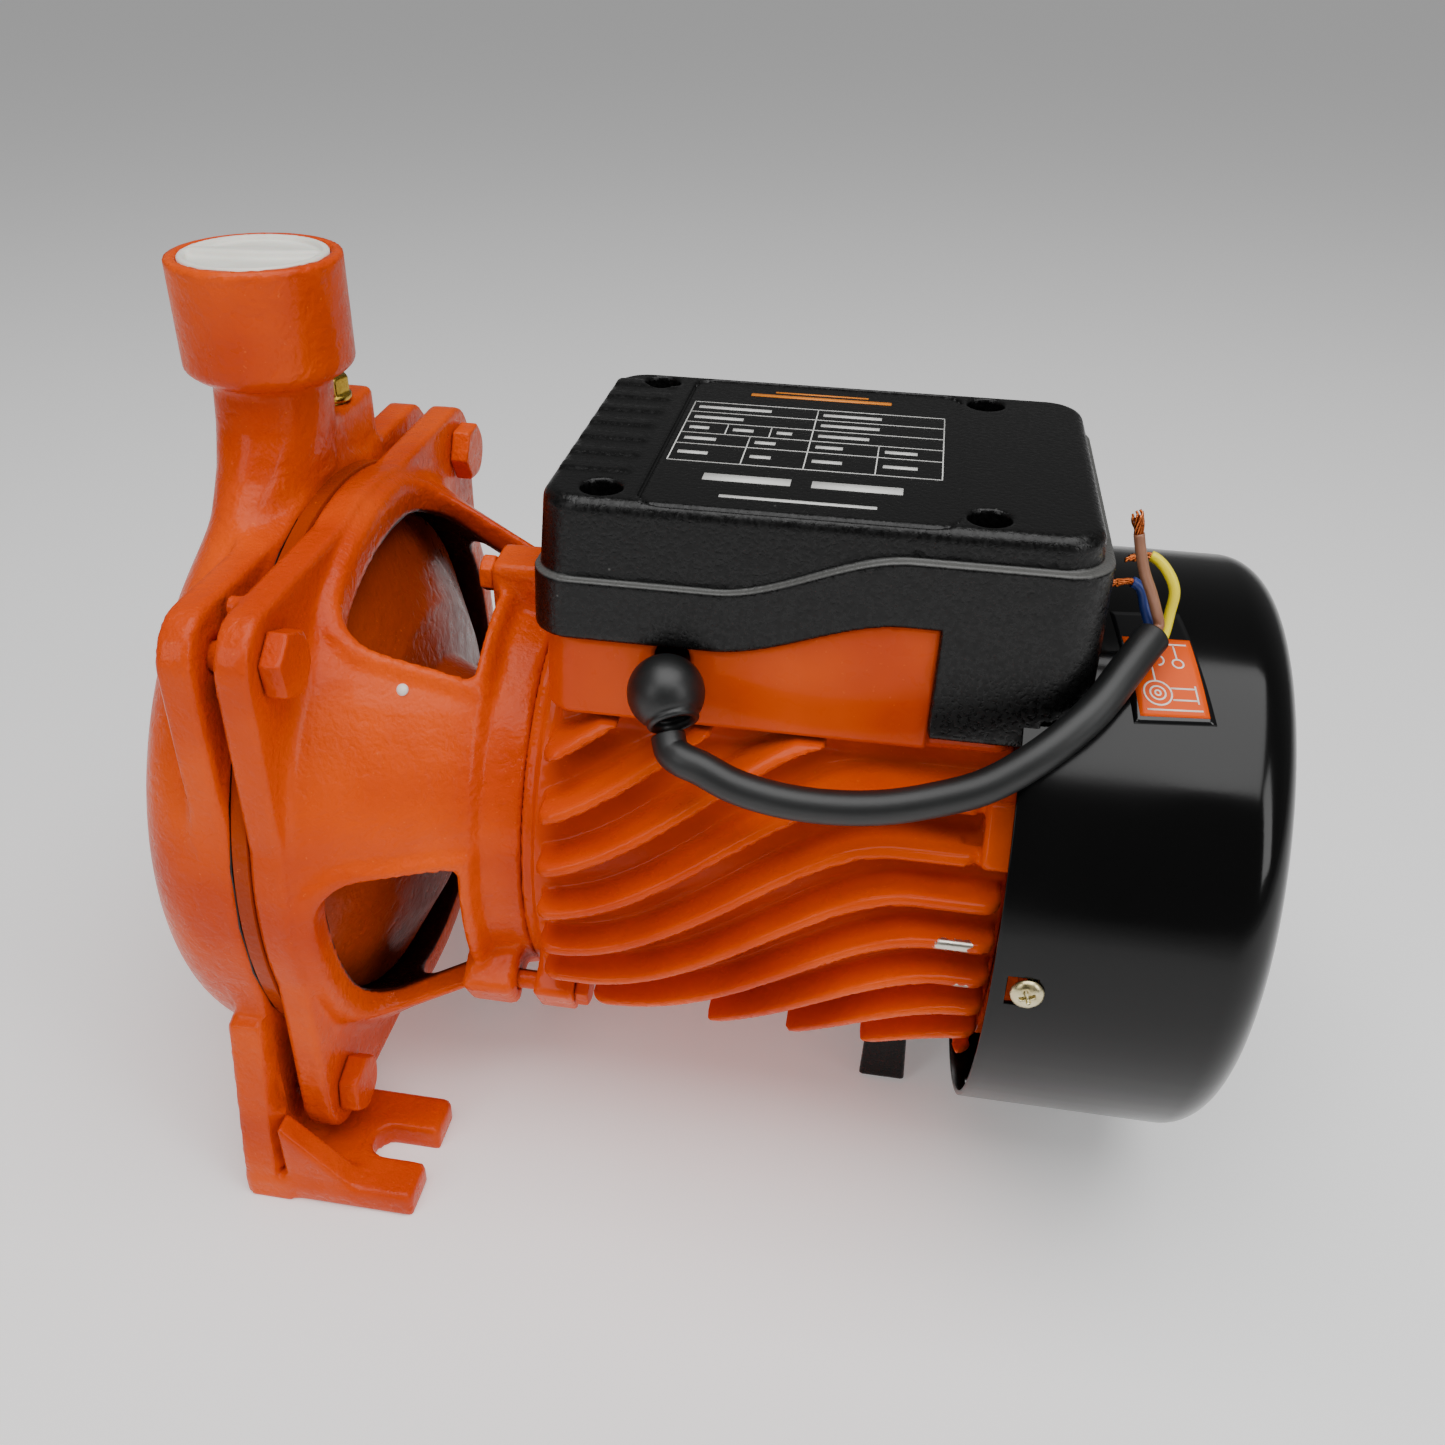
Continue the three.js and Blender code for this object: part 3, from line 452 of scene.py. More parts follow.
def vectorTo(tree, operation, socket, constant, output="Vector"):
    node = addNode(tree, "ShaderNodeVectorMath", {"operation": operation}, {0: socket})
    node.inputs[1].default_value = tuple(constant)
    return node.outputs[output]


def bump(tree, shader, layers):
    # Height layers in millimetres: (socket, height in mm), each added to the one before.
    normal = None
    for height, size in layers:
        links = {"Height": height}
        if normal:
            links["Normal"] = normal
        node = addNode(tree, "ShaderNodeBump", {"Strength": 1.0, "Distance": size * mm}, links)
        normal = node.outputs["Normal"]
    tree.links.new(normal, shader.inputs["Normal"])


def castEnamel(name, sandHeight, lumpHeight, deep="#C43C00", light="#DE5000", chips=()):
    # Orange enamel sprayed thick over sand-cast iron: the paint levels into soft orange peel,
    # the casting's grains show through it, and it goes deeper in colour where it lies thick.
    # Faces that look in at the shaft, within 86 mm of it, are darkened to near black: painted shade for the deep
    # shadow inside, and partly the dark of iron that got little paint. Around each chip, a ragged spot is bare
    # metal.
    material, tree, shader = newMaterial(
        name, "#D84C00", 0.34, IOR=1.5, Specular_IOR_Level=0.12, Coat_Weight=0.12,
        Coat_Roughness=0.07, Coat_IOR=1.5)
    place = addNode(tree, "ShaderNodeTexCoord").outputs["Object"]
    sand = noiseAt(tree, place, 0.8, 3, 0.55)
    lumps = noiseAt(tree, place, 2.3, 2, 0.5, 0.4)
    broad = noiseAt(tree, place, 22, 2, 0.5)
    shade = ramp(tree, broad, 0.35, 0.65, 0, 1)
    colour = mixColours(tree, shade, deep, light)
    specks = noiseAt(tree, place, 0.55, 1, 0.4)
    dust = ramp(tree, specks, 0.74, 0.78, 0, 0.5)
    colour = mixColours(tree, dust, colour, "#E46A28")
    fromShaft = vectorTo(tree, "SUBTRACT", place, shaftOrigin)
    across = vectorTo(tree, "MULTIPLY", fromShaft, (0, 1, 1))
    facing = addNode(tree, "ShaderNodeNewGeometry").outputs["Normal"]
    away = addNode(tree, "ShaderNodeVectorMath", {"operation": "DOT_PRODUCT"},
                   {0: across, 1: facing})
    inward = ramp(tree, away.outputs["Value"], -0.035, -0.052, 0, 0.93)
    radius = addNode(tree, "ShaderNodeVectorMath", {"operation": "LENGTH"}, {0: across})
    within = ramp(tree, radius.outputs["Value"], 0.086, 0.084, 0, 1)
    bare = calculated(tree, "MULTIPLY", inward, within)
    # painted shade inside the castings, partly also dark little-painted iron
    colour = mixColours(tree, bare, colour, "#1C0F0A")
    if chips:
        ragged = noiseAt(tree, place, 1.4, 3, 0.6)
        edge = ramp(tree, ragged, 0.3, 0.7, 0.0, 0.004)
        nearest = None
        for chip in chips:
            spot = vectorTo(tree, "DISTANCE", place, inFrame(chip), "Value")
            nearest = calculated(tree, "MINIMUM", nearest, spot) if nearest else spot
        total = calculated(tree, "ADD", nearest, edge)
        metal = ramp(tree, total, 0.0052, 0.0049, 0, 1)
        colour = mixColours(tree, metal, colour, "#CFC9BC")
        tree.links.new(metal, shader.inputs["Metallic"])
    tree.links.new(colour, shader.inputs["Base Color"])
    gloss = ramp(tree, lumps, 0.3, 0.7, 0.24, 0.38)
    tree.links.new(gloss, shader.inputs["Roughness"])
    bump(tree, shader, [(lumps, lumpHeight), (sand, sandHeight)])
    return material


def mouldedBlack(name, colour, roughness, grain, grainHeight, specks=0.0, ledge=None):
    # Black ABS moulded against a spark-eroded or polished steel face, with a little pale dust.
    # Below the upper of the ledge's two heights, every face that looks up is mixed towards pale grey: part dust,
    # part painted highlight where the ledge catches the light from above.
    material, tree, shader = newMaterial(name, colour, roughness, IOR=1.5,
                                         Specular_IOR_Level=0.3)
    place = addNode(tree, "ShaderNodeTexCoord").outputs["Object"]
    grains = noiseAt(tree, place, grain, 2, 0.6)
    broad = noiseAt(tree, place, 30, 2, 0.5)
    gloss = ramp(tree, grains if ledge else broad, 0.35, 0.65, roughness - (0.16 if ledge else 0.05),
                 roughness + 0.07)
    tree.links.new(gloss, shader.inputs["Roughness"])
    if specks:
        spots = addNode(tree, "ShaderNodeTexVoronoi", {"Scale": 220.0}, {"Vector": place})
        near = ramp(tree, spots.outputs["Distance"], 0.05, 0.09, 1, 0)
        pick = addNode(tree, "ShaderNodeSeparateColor", {}, {"Color": spots.outputs["Color"]})
        few = ramp(tree, pick.outputs[0], 1 - specks, 1 - specks + 0.01, 0, 0.6)
        share = calculated(tree, "MULTIPLY", near, few)
        if ledge:
            facing = addNode(tree, "ShaderNodeNewGeometry").outputs["Normal"]
            up = addNode(tree, "ShaderNodeSeparateXYZ", {}, {"Vector": facing}).outputs["Z"]
            height = addNode(tree, "ShaderNodeSeparateXYZ", {}, {"Vector": place}).outputs["Z"]
            # pale grey on faces that look up below the ledge height: part dust, part painted highlight
            upward = ramp(tree, up, 0.35, 0.75, 0, 0.75)
            below = ramp(tree, height, ledge[1], ledge[1] - 0.001, 0, 1)
            dustAndHighlight = calculated(tree, "MULTIPLY", upward, below)
            share = calculated(tree, "MAXIMUM", share, dustAndHighlight)
        tree.links.new(mixColours(tree, share, colour, "#5E5E5C"), shader.inputs["Base Color"])
    bump(tree, shader, [(grains, grainHeight)])
    return material


def platedMetal(name, colour, roughness, other=None):
    # Turned or pressed metal, plated or bare: faint turning marks and slightly uneven tone.
    material, tree, shader = newMaterial(name, colour, roughness, 1.0)
    place = addNode(tree, "ShaderNodeTexCoord").outputs["Object"]
    marks = noiseAt(tree, place, 0.5, 3, 0.6)
    gloss = ramp(tree, marks, 0.3, 0.7, roughness - 0.1, roughness + 0.12)
    tree.links.new(gloss, shader.inputs["Roughness"])
    broad = noiseAt(tree, place, 3, 2, 0.5)
    tone = ramp(tree, broad, 0.35, 0.65, 0, 1)
    tree.links.new(mixColours(tree, tone, other or colour, colour), shader.inputs["Base Color"])
    bump(tree, shader, [(marks, 0.02)])
    return material


def softPlain(name, colour, roughness, other, size, height, **sockets):
    # Rubber or soft plastic: two close tones and a fine skin.
    material, tree, shader = newMaterial(name, colour, roughness, **sockets)
    place = addNode(tree, "ShaderNodeTexCoord").outputs["Object"]
    broad = noiseAt(tree, place, 6, 3, 0.5)
    tone = ramp(tree, broad, 0.35, 0.65, 0, 1)
    tree.links.new(mixColours(tree, tone, other, colour), shader.inputs["Base Color"])
    skin = noiseAt(tree, place, size, 2, 0.6)
    bump(tree, shader, [(skin, height)])
    return material


finishes = {
    "cast_enamel": castEnamel("orange enamel on cast iron", 0.3, 0.65),
    "pressed_enamel": castEnamel("orange enamel on smooth aluminium", 0.008, 0.03),
    "cover_black": mouldedBlack("black abs, spark-eroded face", "#080808", 0.36, 0.62, 0.17, 0.03,
                                (0.0, 0.2185)),
    "fan_cover_black": mouldedBlack("black abs, polished face", "#040404", 0.16, 0.8, 0.006, 0.012),
    "fan_black": mouldedBlack("black polypropylene", "#141414", 0.45, 0.6, 0.03),
    "rubber_black": softPlain("moulded black rubber", "#141515", 0.42, "#0E0F0F", 0.7, 0.03, IOR=1.52),
    "cable_black": softPlain("extruded rubber sheath", "#0E0F0F", 0.45, "#141515", 0.5, 0.025, IOR=1.52),
    "bolt_zinc": platedMetal("yellow zinc-plated steel", "#C8B070", 0.35, "#B49A50"),
    "screw_zinc": platedMetal("yellow zinc-plated screw", "#D6CCA4", 0.28, "#B4A472"),
    "machined_steel": platedMetal("turned steel", "#A8A8A6", 0.32, "#909090"),
    "lamination": platedMetal("stacked sheet steel", "#77797C", 0.45, "#606266"),
    "copper_wire": platedMetal("copper strand", "#C8703C", 0.3, "#A85428"),
    "plug_brass": platedMetal("turned brass", "#C9A84A", 0.25, "#B08C34"),
    "cap_white": softPlain("off-white polythene", "#ECEAE0", 0.45, "#E2E0D6", 2.0, 0.06, IOR=1.51,
                           Subsurface_Weight=0.15, Subsurface_Scale=0.002),
    "block_white": softPlain("off-white nylon", "#E0DED4", 0.5, "#D8D6CC", 1.0, 0.02, IOR=1.53),
    "seal_ceramic": softPlain("ground ceramic", "#E6E2D8", 0.25, "#DAD6CC", 0.4, 0.01, IOR=1.7),
    "seal_graphite": softPlain("carbon and rubber bellows", "#2B2B2D", 0.5, "#202022", 0.6, 0.03),
    "core_brown": softPlain("brown pvc insulation", "#9A6A50", 0.38, "#8C5E46", 0.6, 0.01, IOR=1.53),
    "core_green": softPlain("yellow pvc insulation", "#F4E000", 0.38, "#EED800", 0.6, 0.01, IOR=1.53),
    "core_blue": softPlain("blue pvc insulation", "#2A3F8A", 0.38, "#243678", 0.6, 0.01, IOR=1.53),
}
slotOf = {entry["node"]: entry["material_slot"] for entry in frame["record"]["subparts"]}
for node, item in frame["nodes"].items():
    item.data.materials.clear()
    item.data.materials.append(finishes[slotOf[node]])
print("materials made:", len(finishes))


# The lead and its three cores.

lead = {
    "radius": 4.6, "coreRadius": 1.4, "coreCircle": 2.2,
    "route": [
        (115.3, -68.2, 61.8), (116.9, -71.3, 59.2), (120, -73.6, 58.4), (125, -75, 57.4),
        (134, -77, 54.4), (146, -78.2, 52.4), (159, -78.4, 52), (172.4, -77.7, 53.2),
        (185, -76, 56), (197.3, -73.6, 60.2), (209, -68.6, 66.8), (218, -62.2, 72.9),
        (223.6, -56.6, 77.3), (229.2, -48.7, 82.6), (233.9, -41.6, 86.5), (236.1, -38.2, 88),
    ],
    "cores": {
        "core_brown": (100, [
            (235.8, -36.5, 95), (233.8, -36.6, 99.5), (231, -36, 105), (228.9, -35, 111),
            (226.6, -34, 119.5)]),
        "core_earth": (220, [
            (240, -33.5, 93), (240, -32.5, 99), (237, -31, 104), (233, -29.5, 106.5),
            (228, -28.5, 105)]),
        "core_blue": (340, [
            (233.8, -32, 93.5), (232, -31, 98), (229, -31, 99.8), (224.5, -32, 99.2)]),
    },
    "strands": 9, "bare": 5.0,
}


def coreKnots(turn, knots):
    # A core starts inside the sheath's cut end, off its middle in the direction of turn.
    before, end = (np.array(point, float) for point in lead["route"][-2:])
    ahead = (end - before) / np.linalg.norm(end - before)
    side = np.cross([0, 0, 1.0], ahead)
    side /= np.linalg.norm(side)
    top = np.cross(ahead, side)
    angle = math.radians(turn)
    offCentre = lead["coreCircle"] * (math.cos(angle) * side + math.sin(angle) * top)
    start = end + 0.5 * ahead + offCentre
    return [start - 1.2 * ahead, start + 2 * ahead, *knots]


def makeLead():
    # The sheath, and for each core a sleeve and a twist of bare strands.
    path = smoothPath(lead["route"], 14)
    pieces = []
    for name, (turn, knots) in lead["cores"].items():
        corePath = smoothPath(coreKnots(turn, knots), 12)
        slotName = {"core_brown": "core_brown", "core_earth": "core_green",
                    "core_blue": "core_blue"}[name]
        reach = np.linalg.norm(corePath - corePath[-1], axis=1)
        covered = corePath[:np.flatnonzero(reach > lead["bare"])[-1] + 1]
        shape = tube(covered, lead["coreRadius"], 20)
        pieces.append(addPiece(name + "_sleeve", buildMesh(name + "_sleeve", *shape),
                               finishes[slotName], slotName, [name]))
        bare = corePath[len(covered) - 3:]
        along = np.linspace(0, 1, len(bare))[:, None]
        strands = []
        for i in range(lead["strands"]):
            angle = 2 * np.pi * i / lead["strands"] + 2.5 * along
            spread = 0.75 + 0.5 * along * (1 + 0.6 * math.sin(3.7 * i))
            offset = spread * np.hstack([np.cos(angle), np.sin(angle), 0.4 * np.sin(angle + 1)])
            offset *= (0 if i == 0 else 1)
            strands.append(tube(bare + offset, 0.32, 8))
        copper = addPiece(name + "_strands", buildMesh(name + "_strands", *merged(strands)),
                          finishes["copper_wire"], "copper_wire")
        pieces.append(copper)
    ends = path[-1] - path[-2]
    ends /= np.linalg.norm(ends)
    # the sheath is cut square; its edge is a little rounded and the filler lies back in it
    rim = np.array([path[-1] + ends * step for step in (0, 0.25, 0.3, 0.3, -0.5)])
    full = np.concatenate([path, rim])
    size = np.concatenate([np.ones(len(path)), [0.99, 0.95, 0.9, 0.76, 0.74]])
    points, faces = tube(full, lead["radius"], 36, size)
    return points, faces, path, pieces


leadPoints, leadFaces, leadPath, corePieces = makeLead()
leadLength = float(np.linalg.norm(np.diff(leadPath, axis=0), axis=1).sum()) * mm
cable = addPiece("lead_sheath", buildMesh("lead_sheath", leadPoints, leadFaces),
                 finishes["cable_black"], "cable_black", ["power_cable"], mend=False)
tuple(inFrame(lead["route"][0]))
[tuple(point) for point in inFrame(leadPath)]
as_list(corePieces)
print("lead made, metres:", round(leadLength, 4))


# The castings.

casing = {
    "cell": 1.6,
    "radius": 96.5, "front": -35, "shoulder": 21, "back": -3,
    "earCircle": 110, "earRadius": 14.5, "flange": (-12.5, -3),
    "port": 24.75, "thread": 20.9, "passage": 16, "inlet": -65,
    "outletX": -14, "outletTop": 161,
    "footWidth": 105, "footSpan": (-14, 41), "footHeight": 9, "slot": (27, 83.5, 6.25),
    "legTop": (96, -40), "legEdge": 14, "arch": (46, -90, 8), "padInside": 62,
    "boltHole": 4.4, "priming": (-11, 30), "drainZ": -72, "plugBore": 5.4,
    "cavity": (-26, 83.5, 9),
}
neck = {  # an ellipse at each height, with a round bore
    "heights": [55, 68, 80, 92, 104, 115, 126, 136],
    "middle": [-18, -18, -17.5, -17, -16, -15, casing["outletX"], casing["outletX"]],
    "deep": [13, 13, 13.5, 14.5, 15.5, 16.5, 17, 17.5],
    "wide": [66, 60, 50, 37, 25.5, 19, 17, 17.5],
    "bore": [10, 10, 10, 10, 10.5, 11.5, 12.5, 12.5],
}
bottom = -shaftOrigin[2] / mm


def earPlate(x, y, z, span, disc):
    # A square plate with a round ear at each corner, and a round body bulging between them.
    reach = casing["earCircle"] * math.sqrt(0.5) + casing["earRadius"]
    square = rounded([np.abs(y) - reach, np.abs(z) - reach], casing["earRadius"])
    return rounded([np.minimum(square, np.hypot(y, z) - disc), between(x, *span)], 1.3)


def earHoles(y, z, radius):
    # Distance to the nearest of the four bolt holes, folded into one quarter.
    offset = casing["earCircle"] * math.sqrt(0.5)
    return np.hypot(np.abs(y) - offset, np.abs(z) - offset) - radius


def casingField(x, y, z):
    # The volute, flange, inlet, neck, port, plug seats and feet, then all that is cut out.
    c = casing
    body = rod(x, y, z, c["front"], 30, c["radius"], c["shoulder"])
    body = smoothMax(body, x - c["back"], 1.0)
    shape = smoothMin(body, earPlate(x, y, z, c["flange"], c["radius"] - 1), 3.0)
    inlet = rod(x, y, z, c["inlet"], -28, c["port"], 1.2)
    shape = smoothMin(shape, inlet, 14)
    middle, deep, wide, bore = (np.interp(z, neck["heights"], neck[key])
                                for key in ("middle", "deep", "wide", "bore"))
    pipe = (np.hypot((x - middle) / deep, y / wide) - 1) * deep
    pipe = rounded([pipe, between(z, 50, 138)], 1.0)
    behind = smoothMax(pipe, x - c["back"], 0.6)
    pipe = np.where(z < 97.5, behind, smoothMax(pipe, x - c["back"] - (z - 97.5) * 4, 0.6))
    shape = smoothMin(shape, pipe, 5)
    port = rod(z, x - c["outletX"], y, 127.5, c["outletTop"], c["port"], 1.0)
    cone = np.hypot(x - c["outletX"], y) - (c["port"] - 1.2 * np.maximum(131.5 - z, 0))
    shape = smoothMin(shape, smoothMax(port, cone * 0.65, 2), 2.5)
    plugSeat = block(x, y, z, (-20, -3.4), (13, 47), (60, 110), 2.5)
    shape = smoothMin(shape, plugSeat, 4)
    shape = smoothMin(shape, rod(-x, y, z - c["drainZ"], 25, 37, 11, 1.2), 3)
    foot, edge, (topY, topZ) = c["footWidth"], bottom + c["legEdge"], c["legTop"]
    leg = outline(y, z, [(-foot, bottom - 9), (foot, bottom - 9), (foot, edge),
                         (topY, topZ), (-topY, topZ), (-foot, edge)])
    leg = rounded([leg, between(x, c["footSpan"][0], 1.5)], 1.6)
    leg = smoothMax(leg, np.where(x > c["back"], z + 97.2, -1e3 + 0 * z), 1.0)
    archHalf, archTop, archRound = c["arch"]
    arch = rounded([np.abs(y) - archHalf, z - archTop], archRound)
    leg = smoothMax(leg, -arch, 2.0)
    side = np.abs(y)
    pad = block(x, side, z, c["footSpan"], (c["padInside"], foot),
                (bottom - 9, bottom + c["footHeight"]), 2.6)
    gusset = outline(x, z, [(0, bottom + 4), (24, bottom + 4), (23, bottom + 8), (0, -74)])
    gusset = rounded([gusset, between(side, foot - 8.5, foot - 0.3)], 1.2)
    slotX, slotY, slotR = c["slot"]
    slot = np.where(x < slotX, np.hypot(x - slotX, side - slotY), np.abs(side - slotY)) - slotR
    feet = smoothMin(smoothMin(pad, gusset, 3), leg, 3)
    feet = smoothMax(feet, -slot, 1.6)
    shape = smoothMin(shape, feet, 4)
    shape = smoothMax(shape, bottom - z, 0.5)
    cavityFront, cavityRadius, cavityEdge = c["cavity"]
    cavity = rod(x, y, z, cavityFront, 30, cavityRadius, cavityEdge)
    inside = np.minimum(cavity, rod(x, y, z, -80, -20, c["passage"], 0.5))
    inside = np.minimum(inside, rod(x, y, z, -80, -47, c["thread"], 0.5))
    bore = rounded([np.hypot(x - middle, y) - bore, 60 - z], 0.5)
    inside = np.minimum(inside, bore)
    inside = np.minimum(inside, rod(z, x - c["outletX"], y, 141, 200, c["thread"], 0.5))
    shape = smoothMax(shape, -inside, 0.9)
    shape = smoothMax(shape, -earHoles(y, z, c["boltHole"]), 0.5)
    hole = c["plugBore"] - np.hypot(x - c["priming"][0], y - c["priming"][1])
    shape = smoothMax(shape, hole - np.maximum(70 - z, 0), 0.5)
    hole = c["plugBore"] - np.hypot(y, z - c["drainZ"])
    return smoothMax(shape, hole - np.maximum(x + 22, 0), 0.5)


bracketShape = {
    "cell": 1.5,
    "outside": [(3, -30), (3, 92), (13.5, 92), (17.5, 90), (26, 85), (38, 79), (50, 73),
                (57, 69.5), (60, 66), (70.7, 63.5), (70.7, -30)],
    "inside": [(-9, -30), (-9, 83.6), (0, 83.6), (13, 82.5), (26, 78), (50, 65), (54, 61),
               (54, -30)],
    "windows": [(-15.5, 23.5), (81, 28), (164.5, 23.5), (261, 28)],
    "windowSpan": (17.5, 54), "bead": 1.5,
    "ties": [-33, 207, 87], "tieCircle": 72, "nubs": [(-70.7, 89), (-83.6, 71)],
}


def windowGap(x, y, z, angle, half):
    # A rounded window: wide towards the casing, narrower towards the motor.
    out, along = outward(y, z, angle)
    start, end = bracketShape["windowSpan"]
    wide, narrow = 88 * math.sin(math.radians(half)), 71 * math.sin(math.radians(half))
    side = wide + (narrow - wide) * np.clip((x - start) / (end - start), -0.5, 1.5)
    gap = smoothMax(start - x, (np.abs(along) - side) * 0.97, 15)
    gap = smoothMax(gap, x - end, 3)
    return np.where(out > 20, gap, np.maximum(gap, 20 - out))


def lug(x, y, z, span, low, high, half, angle, edge=2.0):
    # A block from low to high outwards at an angle round the shaft.
    out, along = outward(y, z, angle)
    return block(x, along, out, span, (-half, half), (low, high), edge)


def bracketField(x, y, z):
    # A turned shell with the square flange, beaded windows, three lugs and two nubs.
    b = bracketShape
    radius = np.hypot(y, z)
    outside = outline(x, radius, b["outside"])
    shape = smoothMin(outside, earPlate(x, y, z, (3, 12.5), 95.5), 4)
    inside = outline(x, radius, b["inside"])
    gaps = [windowGap(x, y, z, angle, half) for angle, half in b["windows"]]
    gap = gaps[0]
    for other in gaps[1:]:
        gap = np.minimum(gap, other)
    bead = rounded([np.abs(gap - 1.8) - 2.0, outside - b["bead"]], 1.4)
    shape = smoothMin(shape, bead, 2.2)
    shape = smoothMax(shape, -inside, 1.0)
    ring = rounded([np.abs(radius - 41) - 17, 62 - x], 1)
    seat = np.minimum(rod(x, y, z, 40, 80, 12, 0.5), rod(x, y, z, 56.7, 80, 20.3, 0.5))
    shape = smoothMax(shape, -np.minimum(ring, seat), 0.8)
    shape = smoothMax(shape, -gap, 2.0)
    for angle in b["ties"]:
        shape = smoothMin(shape, lug(x, y, z, (51, 67.5), 58, 79, 8, angle, 2.6), 3)
    for angle in b["ties"]:
        tieY, tieZ = onCircle(b["tieCircle"], angle)
        shape = smoothMax(shape, -rod(x, y - tieY, z - tieZ, 45, 80, 3.3, 0.2), 0.5)
    for nubY, nubZ in b["nubs"]:
        shape = smoothMin(shape, rod(x, y - nubY, z - nubZ, -2.4, 6, 2.9, 1.2), 0.6)
    return smoothMax(shape, -earHoles(y, z, casing["boltHole"]), 0.5)


housing = {
    "cell": 1.25,
    "span": (71, 208.5), "radius": 66, "bore": 62.3, "finRadius": 78,
    "fins": 11, "finLength": 95, "finHalf": 1.6,
    "rearLugs": [31, 151, 271], "boxFloor": 56.2,
}


def finField(x, y, z, radius):
    # Each fin is level, climbs in a long S and is level again; its tip follows a cylinder.
    h = housing
    nearest = np.full(np.shape(x), 1e3)
    for k in range(1, h["fins"] + 1):
        right, climb, middle = 33.5 - 12 * (k - 5), 44.5 + 1.1 * (k - 5), 131 + 6 * (k - 5)
        t = np.clip((x - middle) / h["finLength"] + 0.5, 0, 1)
        level = right - climb * (1 - smoothStep(t))
        slope = climb * 6 * t * (1 - t) / h["finLength"]
        thick = np.abs(z - level) / np.sqrt(1 + slope ** 2) - h["finHalf"]
        end = 200 if k < 6 else 207
        plan = rounded([radius - h["finRadius"], between(x, 92 if k == 7 else 78.5, end)], 5)
        nearest = np.minimum(nearest, rounded([plan, thick], 0.8))
    sheet = np.maximum(nearest, np.maximum(z - 55, -40.5 - z))
    return np.maximum(sheet, 30 - np.abs(y))


def housingField(x, y, z):
    # A barrel with its fins, lugs and the pad of the box, then the bore and the screw holes.
    h = housing
    radius = np.hypot(y, z)
    barrel = smoothMin(rod(x, y, z, 75, h["span"][1], h["radius"], 0.8),
                       rod(x, y, z, h["span"][0], 90, 64, 0.5), 1.0)
    shape = smoothMin(barrel, finField(x, y, z, radius), 1.3)
    for angle in bracketShape["ties"]:
        span = (73.5, 76.4) if angle == 87 else (74, 86)
        shape = smoothMin(shape, lug(x, y, z, span, 60, 78, 8, angle, 1.2), 2)
    for angle in h["rearLugs"]:
        shape = smoothMin(shape, lug(x, y, z, (200, h["span"][1]), 60, 79, 9, angle, 1.5), 2)
    pad = block(x, y, z, (80, 206), (-46, 46), (40, h["boxFloor"]), 1)
    shape = smoothMin(shape, pad, 2)
    shape = smoothMin(shape, block(x, y, z, (172, 196), (-20, 20), (-70, -50), 1.5), 2)
    under = np.maximum(block(x, y, z, (79.8, 240), (-60, 60), (h["boxFloor"], 100), 0.3),
                       h["radius"] + 0.1 - radius)
    shape = smoothMax(shape, -under, 0.3)
    shape = smoothMax(shape, np.where(x < 84, 58.5, h["bore"]) - radius, 0.6)
    for angles, span in ((bracketShape["ties"], (60, 90)), (h["rearLugs"], (195, 220))):
        for angle in angles:
            tieY, tieZ = onCircle(bracketShape["tieCircle"], angle)
            shape = smoothMax(shape, -rod(x, y - tieY, z - tieZ, *span, 3.3, 0.2), 0.5)
    return shape


def castPiece(name, field, low, high, cell, slotName, replaced, keep=None, body="pump_body"):
    # A field between two corners becomes a piece; keep is the share of faces that stay.
    points, faces = fieldNet(field, low, high, cell)
    mesh = buildMesh(name, points, faces)
    piece = addPiece(name, mesh, finishes[slotName], slotName, replaced, body, mend=False)
    if keep:
        thin = piece.modifiers.new("thin", "DECIMATE")
        thin.ratio = keep
    print(name, "faces:", len(faces))
    return piece


castPiece("volute_casting", casingField, (-70, -112, -112), (46, 112, 168), casing["cell"],
          "cast_enamel", ["volute_casing"])
castPiece("bracket_casting", bracketField, (-2, -102, -102), (76, 102, 102),
          bracketShape["cell"], "cast_enamel", ["bracket"])
housingPiece = castPiece("housing_casting", housingField, (67, -83, -83), (213, 83, 83),
                         housing["cell"], "pressed_enamel", ["motor_housing"], keep=0.7)
housingPiece.data.materials[0] = castEnamel(
    "orange enamel on ribbed aluminium", 0.02, 0.12,
    chips=[(197.5, -77.6, 9.9), (194, -77.6, 9.9), (198.5, -77.8, -6.2), (202, -66, -33)])


# The terminal box.

termBox = {
    "front": 73.5, "rear": 223, "halfWidth": 56.4, "top": 118.7, "corner": 12,
    "skirtStart": 182.5, "skirtBottom": 61.5, "ledge": 1.35, "topEdge": 3.4,
    "joint": (80.8, 92.8), "ledgeHeight": (97.5, 110.5), "rise": (124, 174),
    "screws": (92.8, 190.7, 42.7), "hole": 5.5, "post": 7.4, "shankHole": 2.4,
    "panel": ((103, 183.5), (-50, 48), 6), "panelDepth": 0.45,
    "ribs": {"x": (79, 97.5), "first": -29.5, "pitch": 11.6, "count": 7, "height": 0.5},
    "saddle": (66.7, 89.2, 210.4),
}


def riseLine(x, levels):
    # Level, a soft S upwards, and level again.
    start, end = termBox["rise"]
    return levels[0] + (levels[1] - levels[0]) * smoothStep((x - start) / (end - start))


def draftedBlock(x, y, z, xs, halfWidth, zs, corner, lean, edge):
    # A rounded box whose walls lean in towards the top.
    inset = lean * (z - zs[0]) / (zs[1] - zs[0])
    plan = rounded([between(x, *xs) + inset, np.abs(y) - halfWidth + inset], corner)
    return rounded([plan, between(z, *zs)], edge)


def saddleCut(x, y, z):
    # The room of the motor's barrel and of the fan cover, two cylinders round the shaft.
    barrel, fan, start = termBox["saddle"]
    radius = np.hypot(y, z)
    return np.minimum(radius - barrel, np.maximum(radius - fan, start - x))


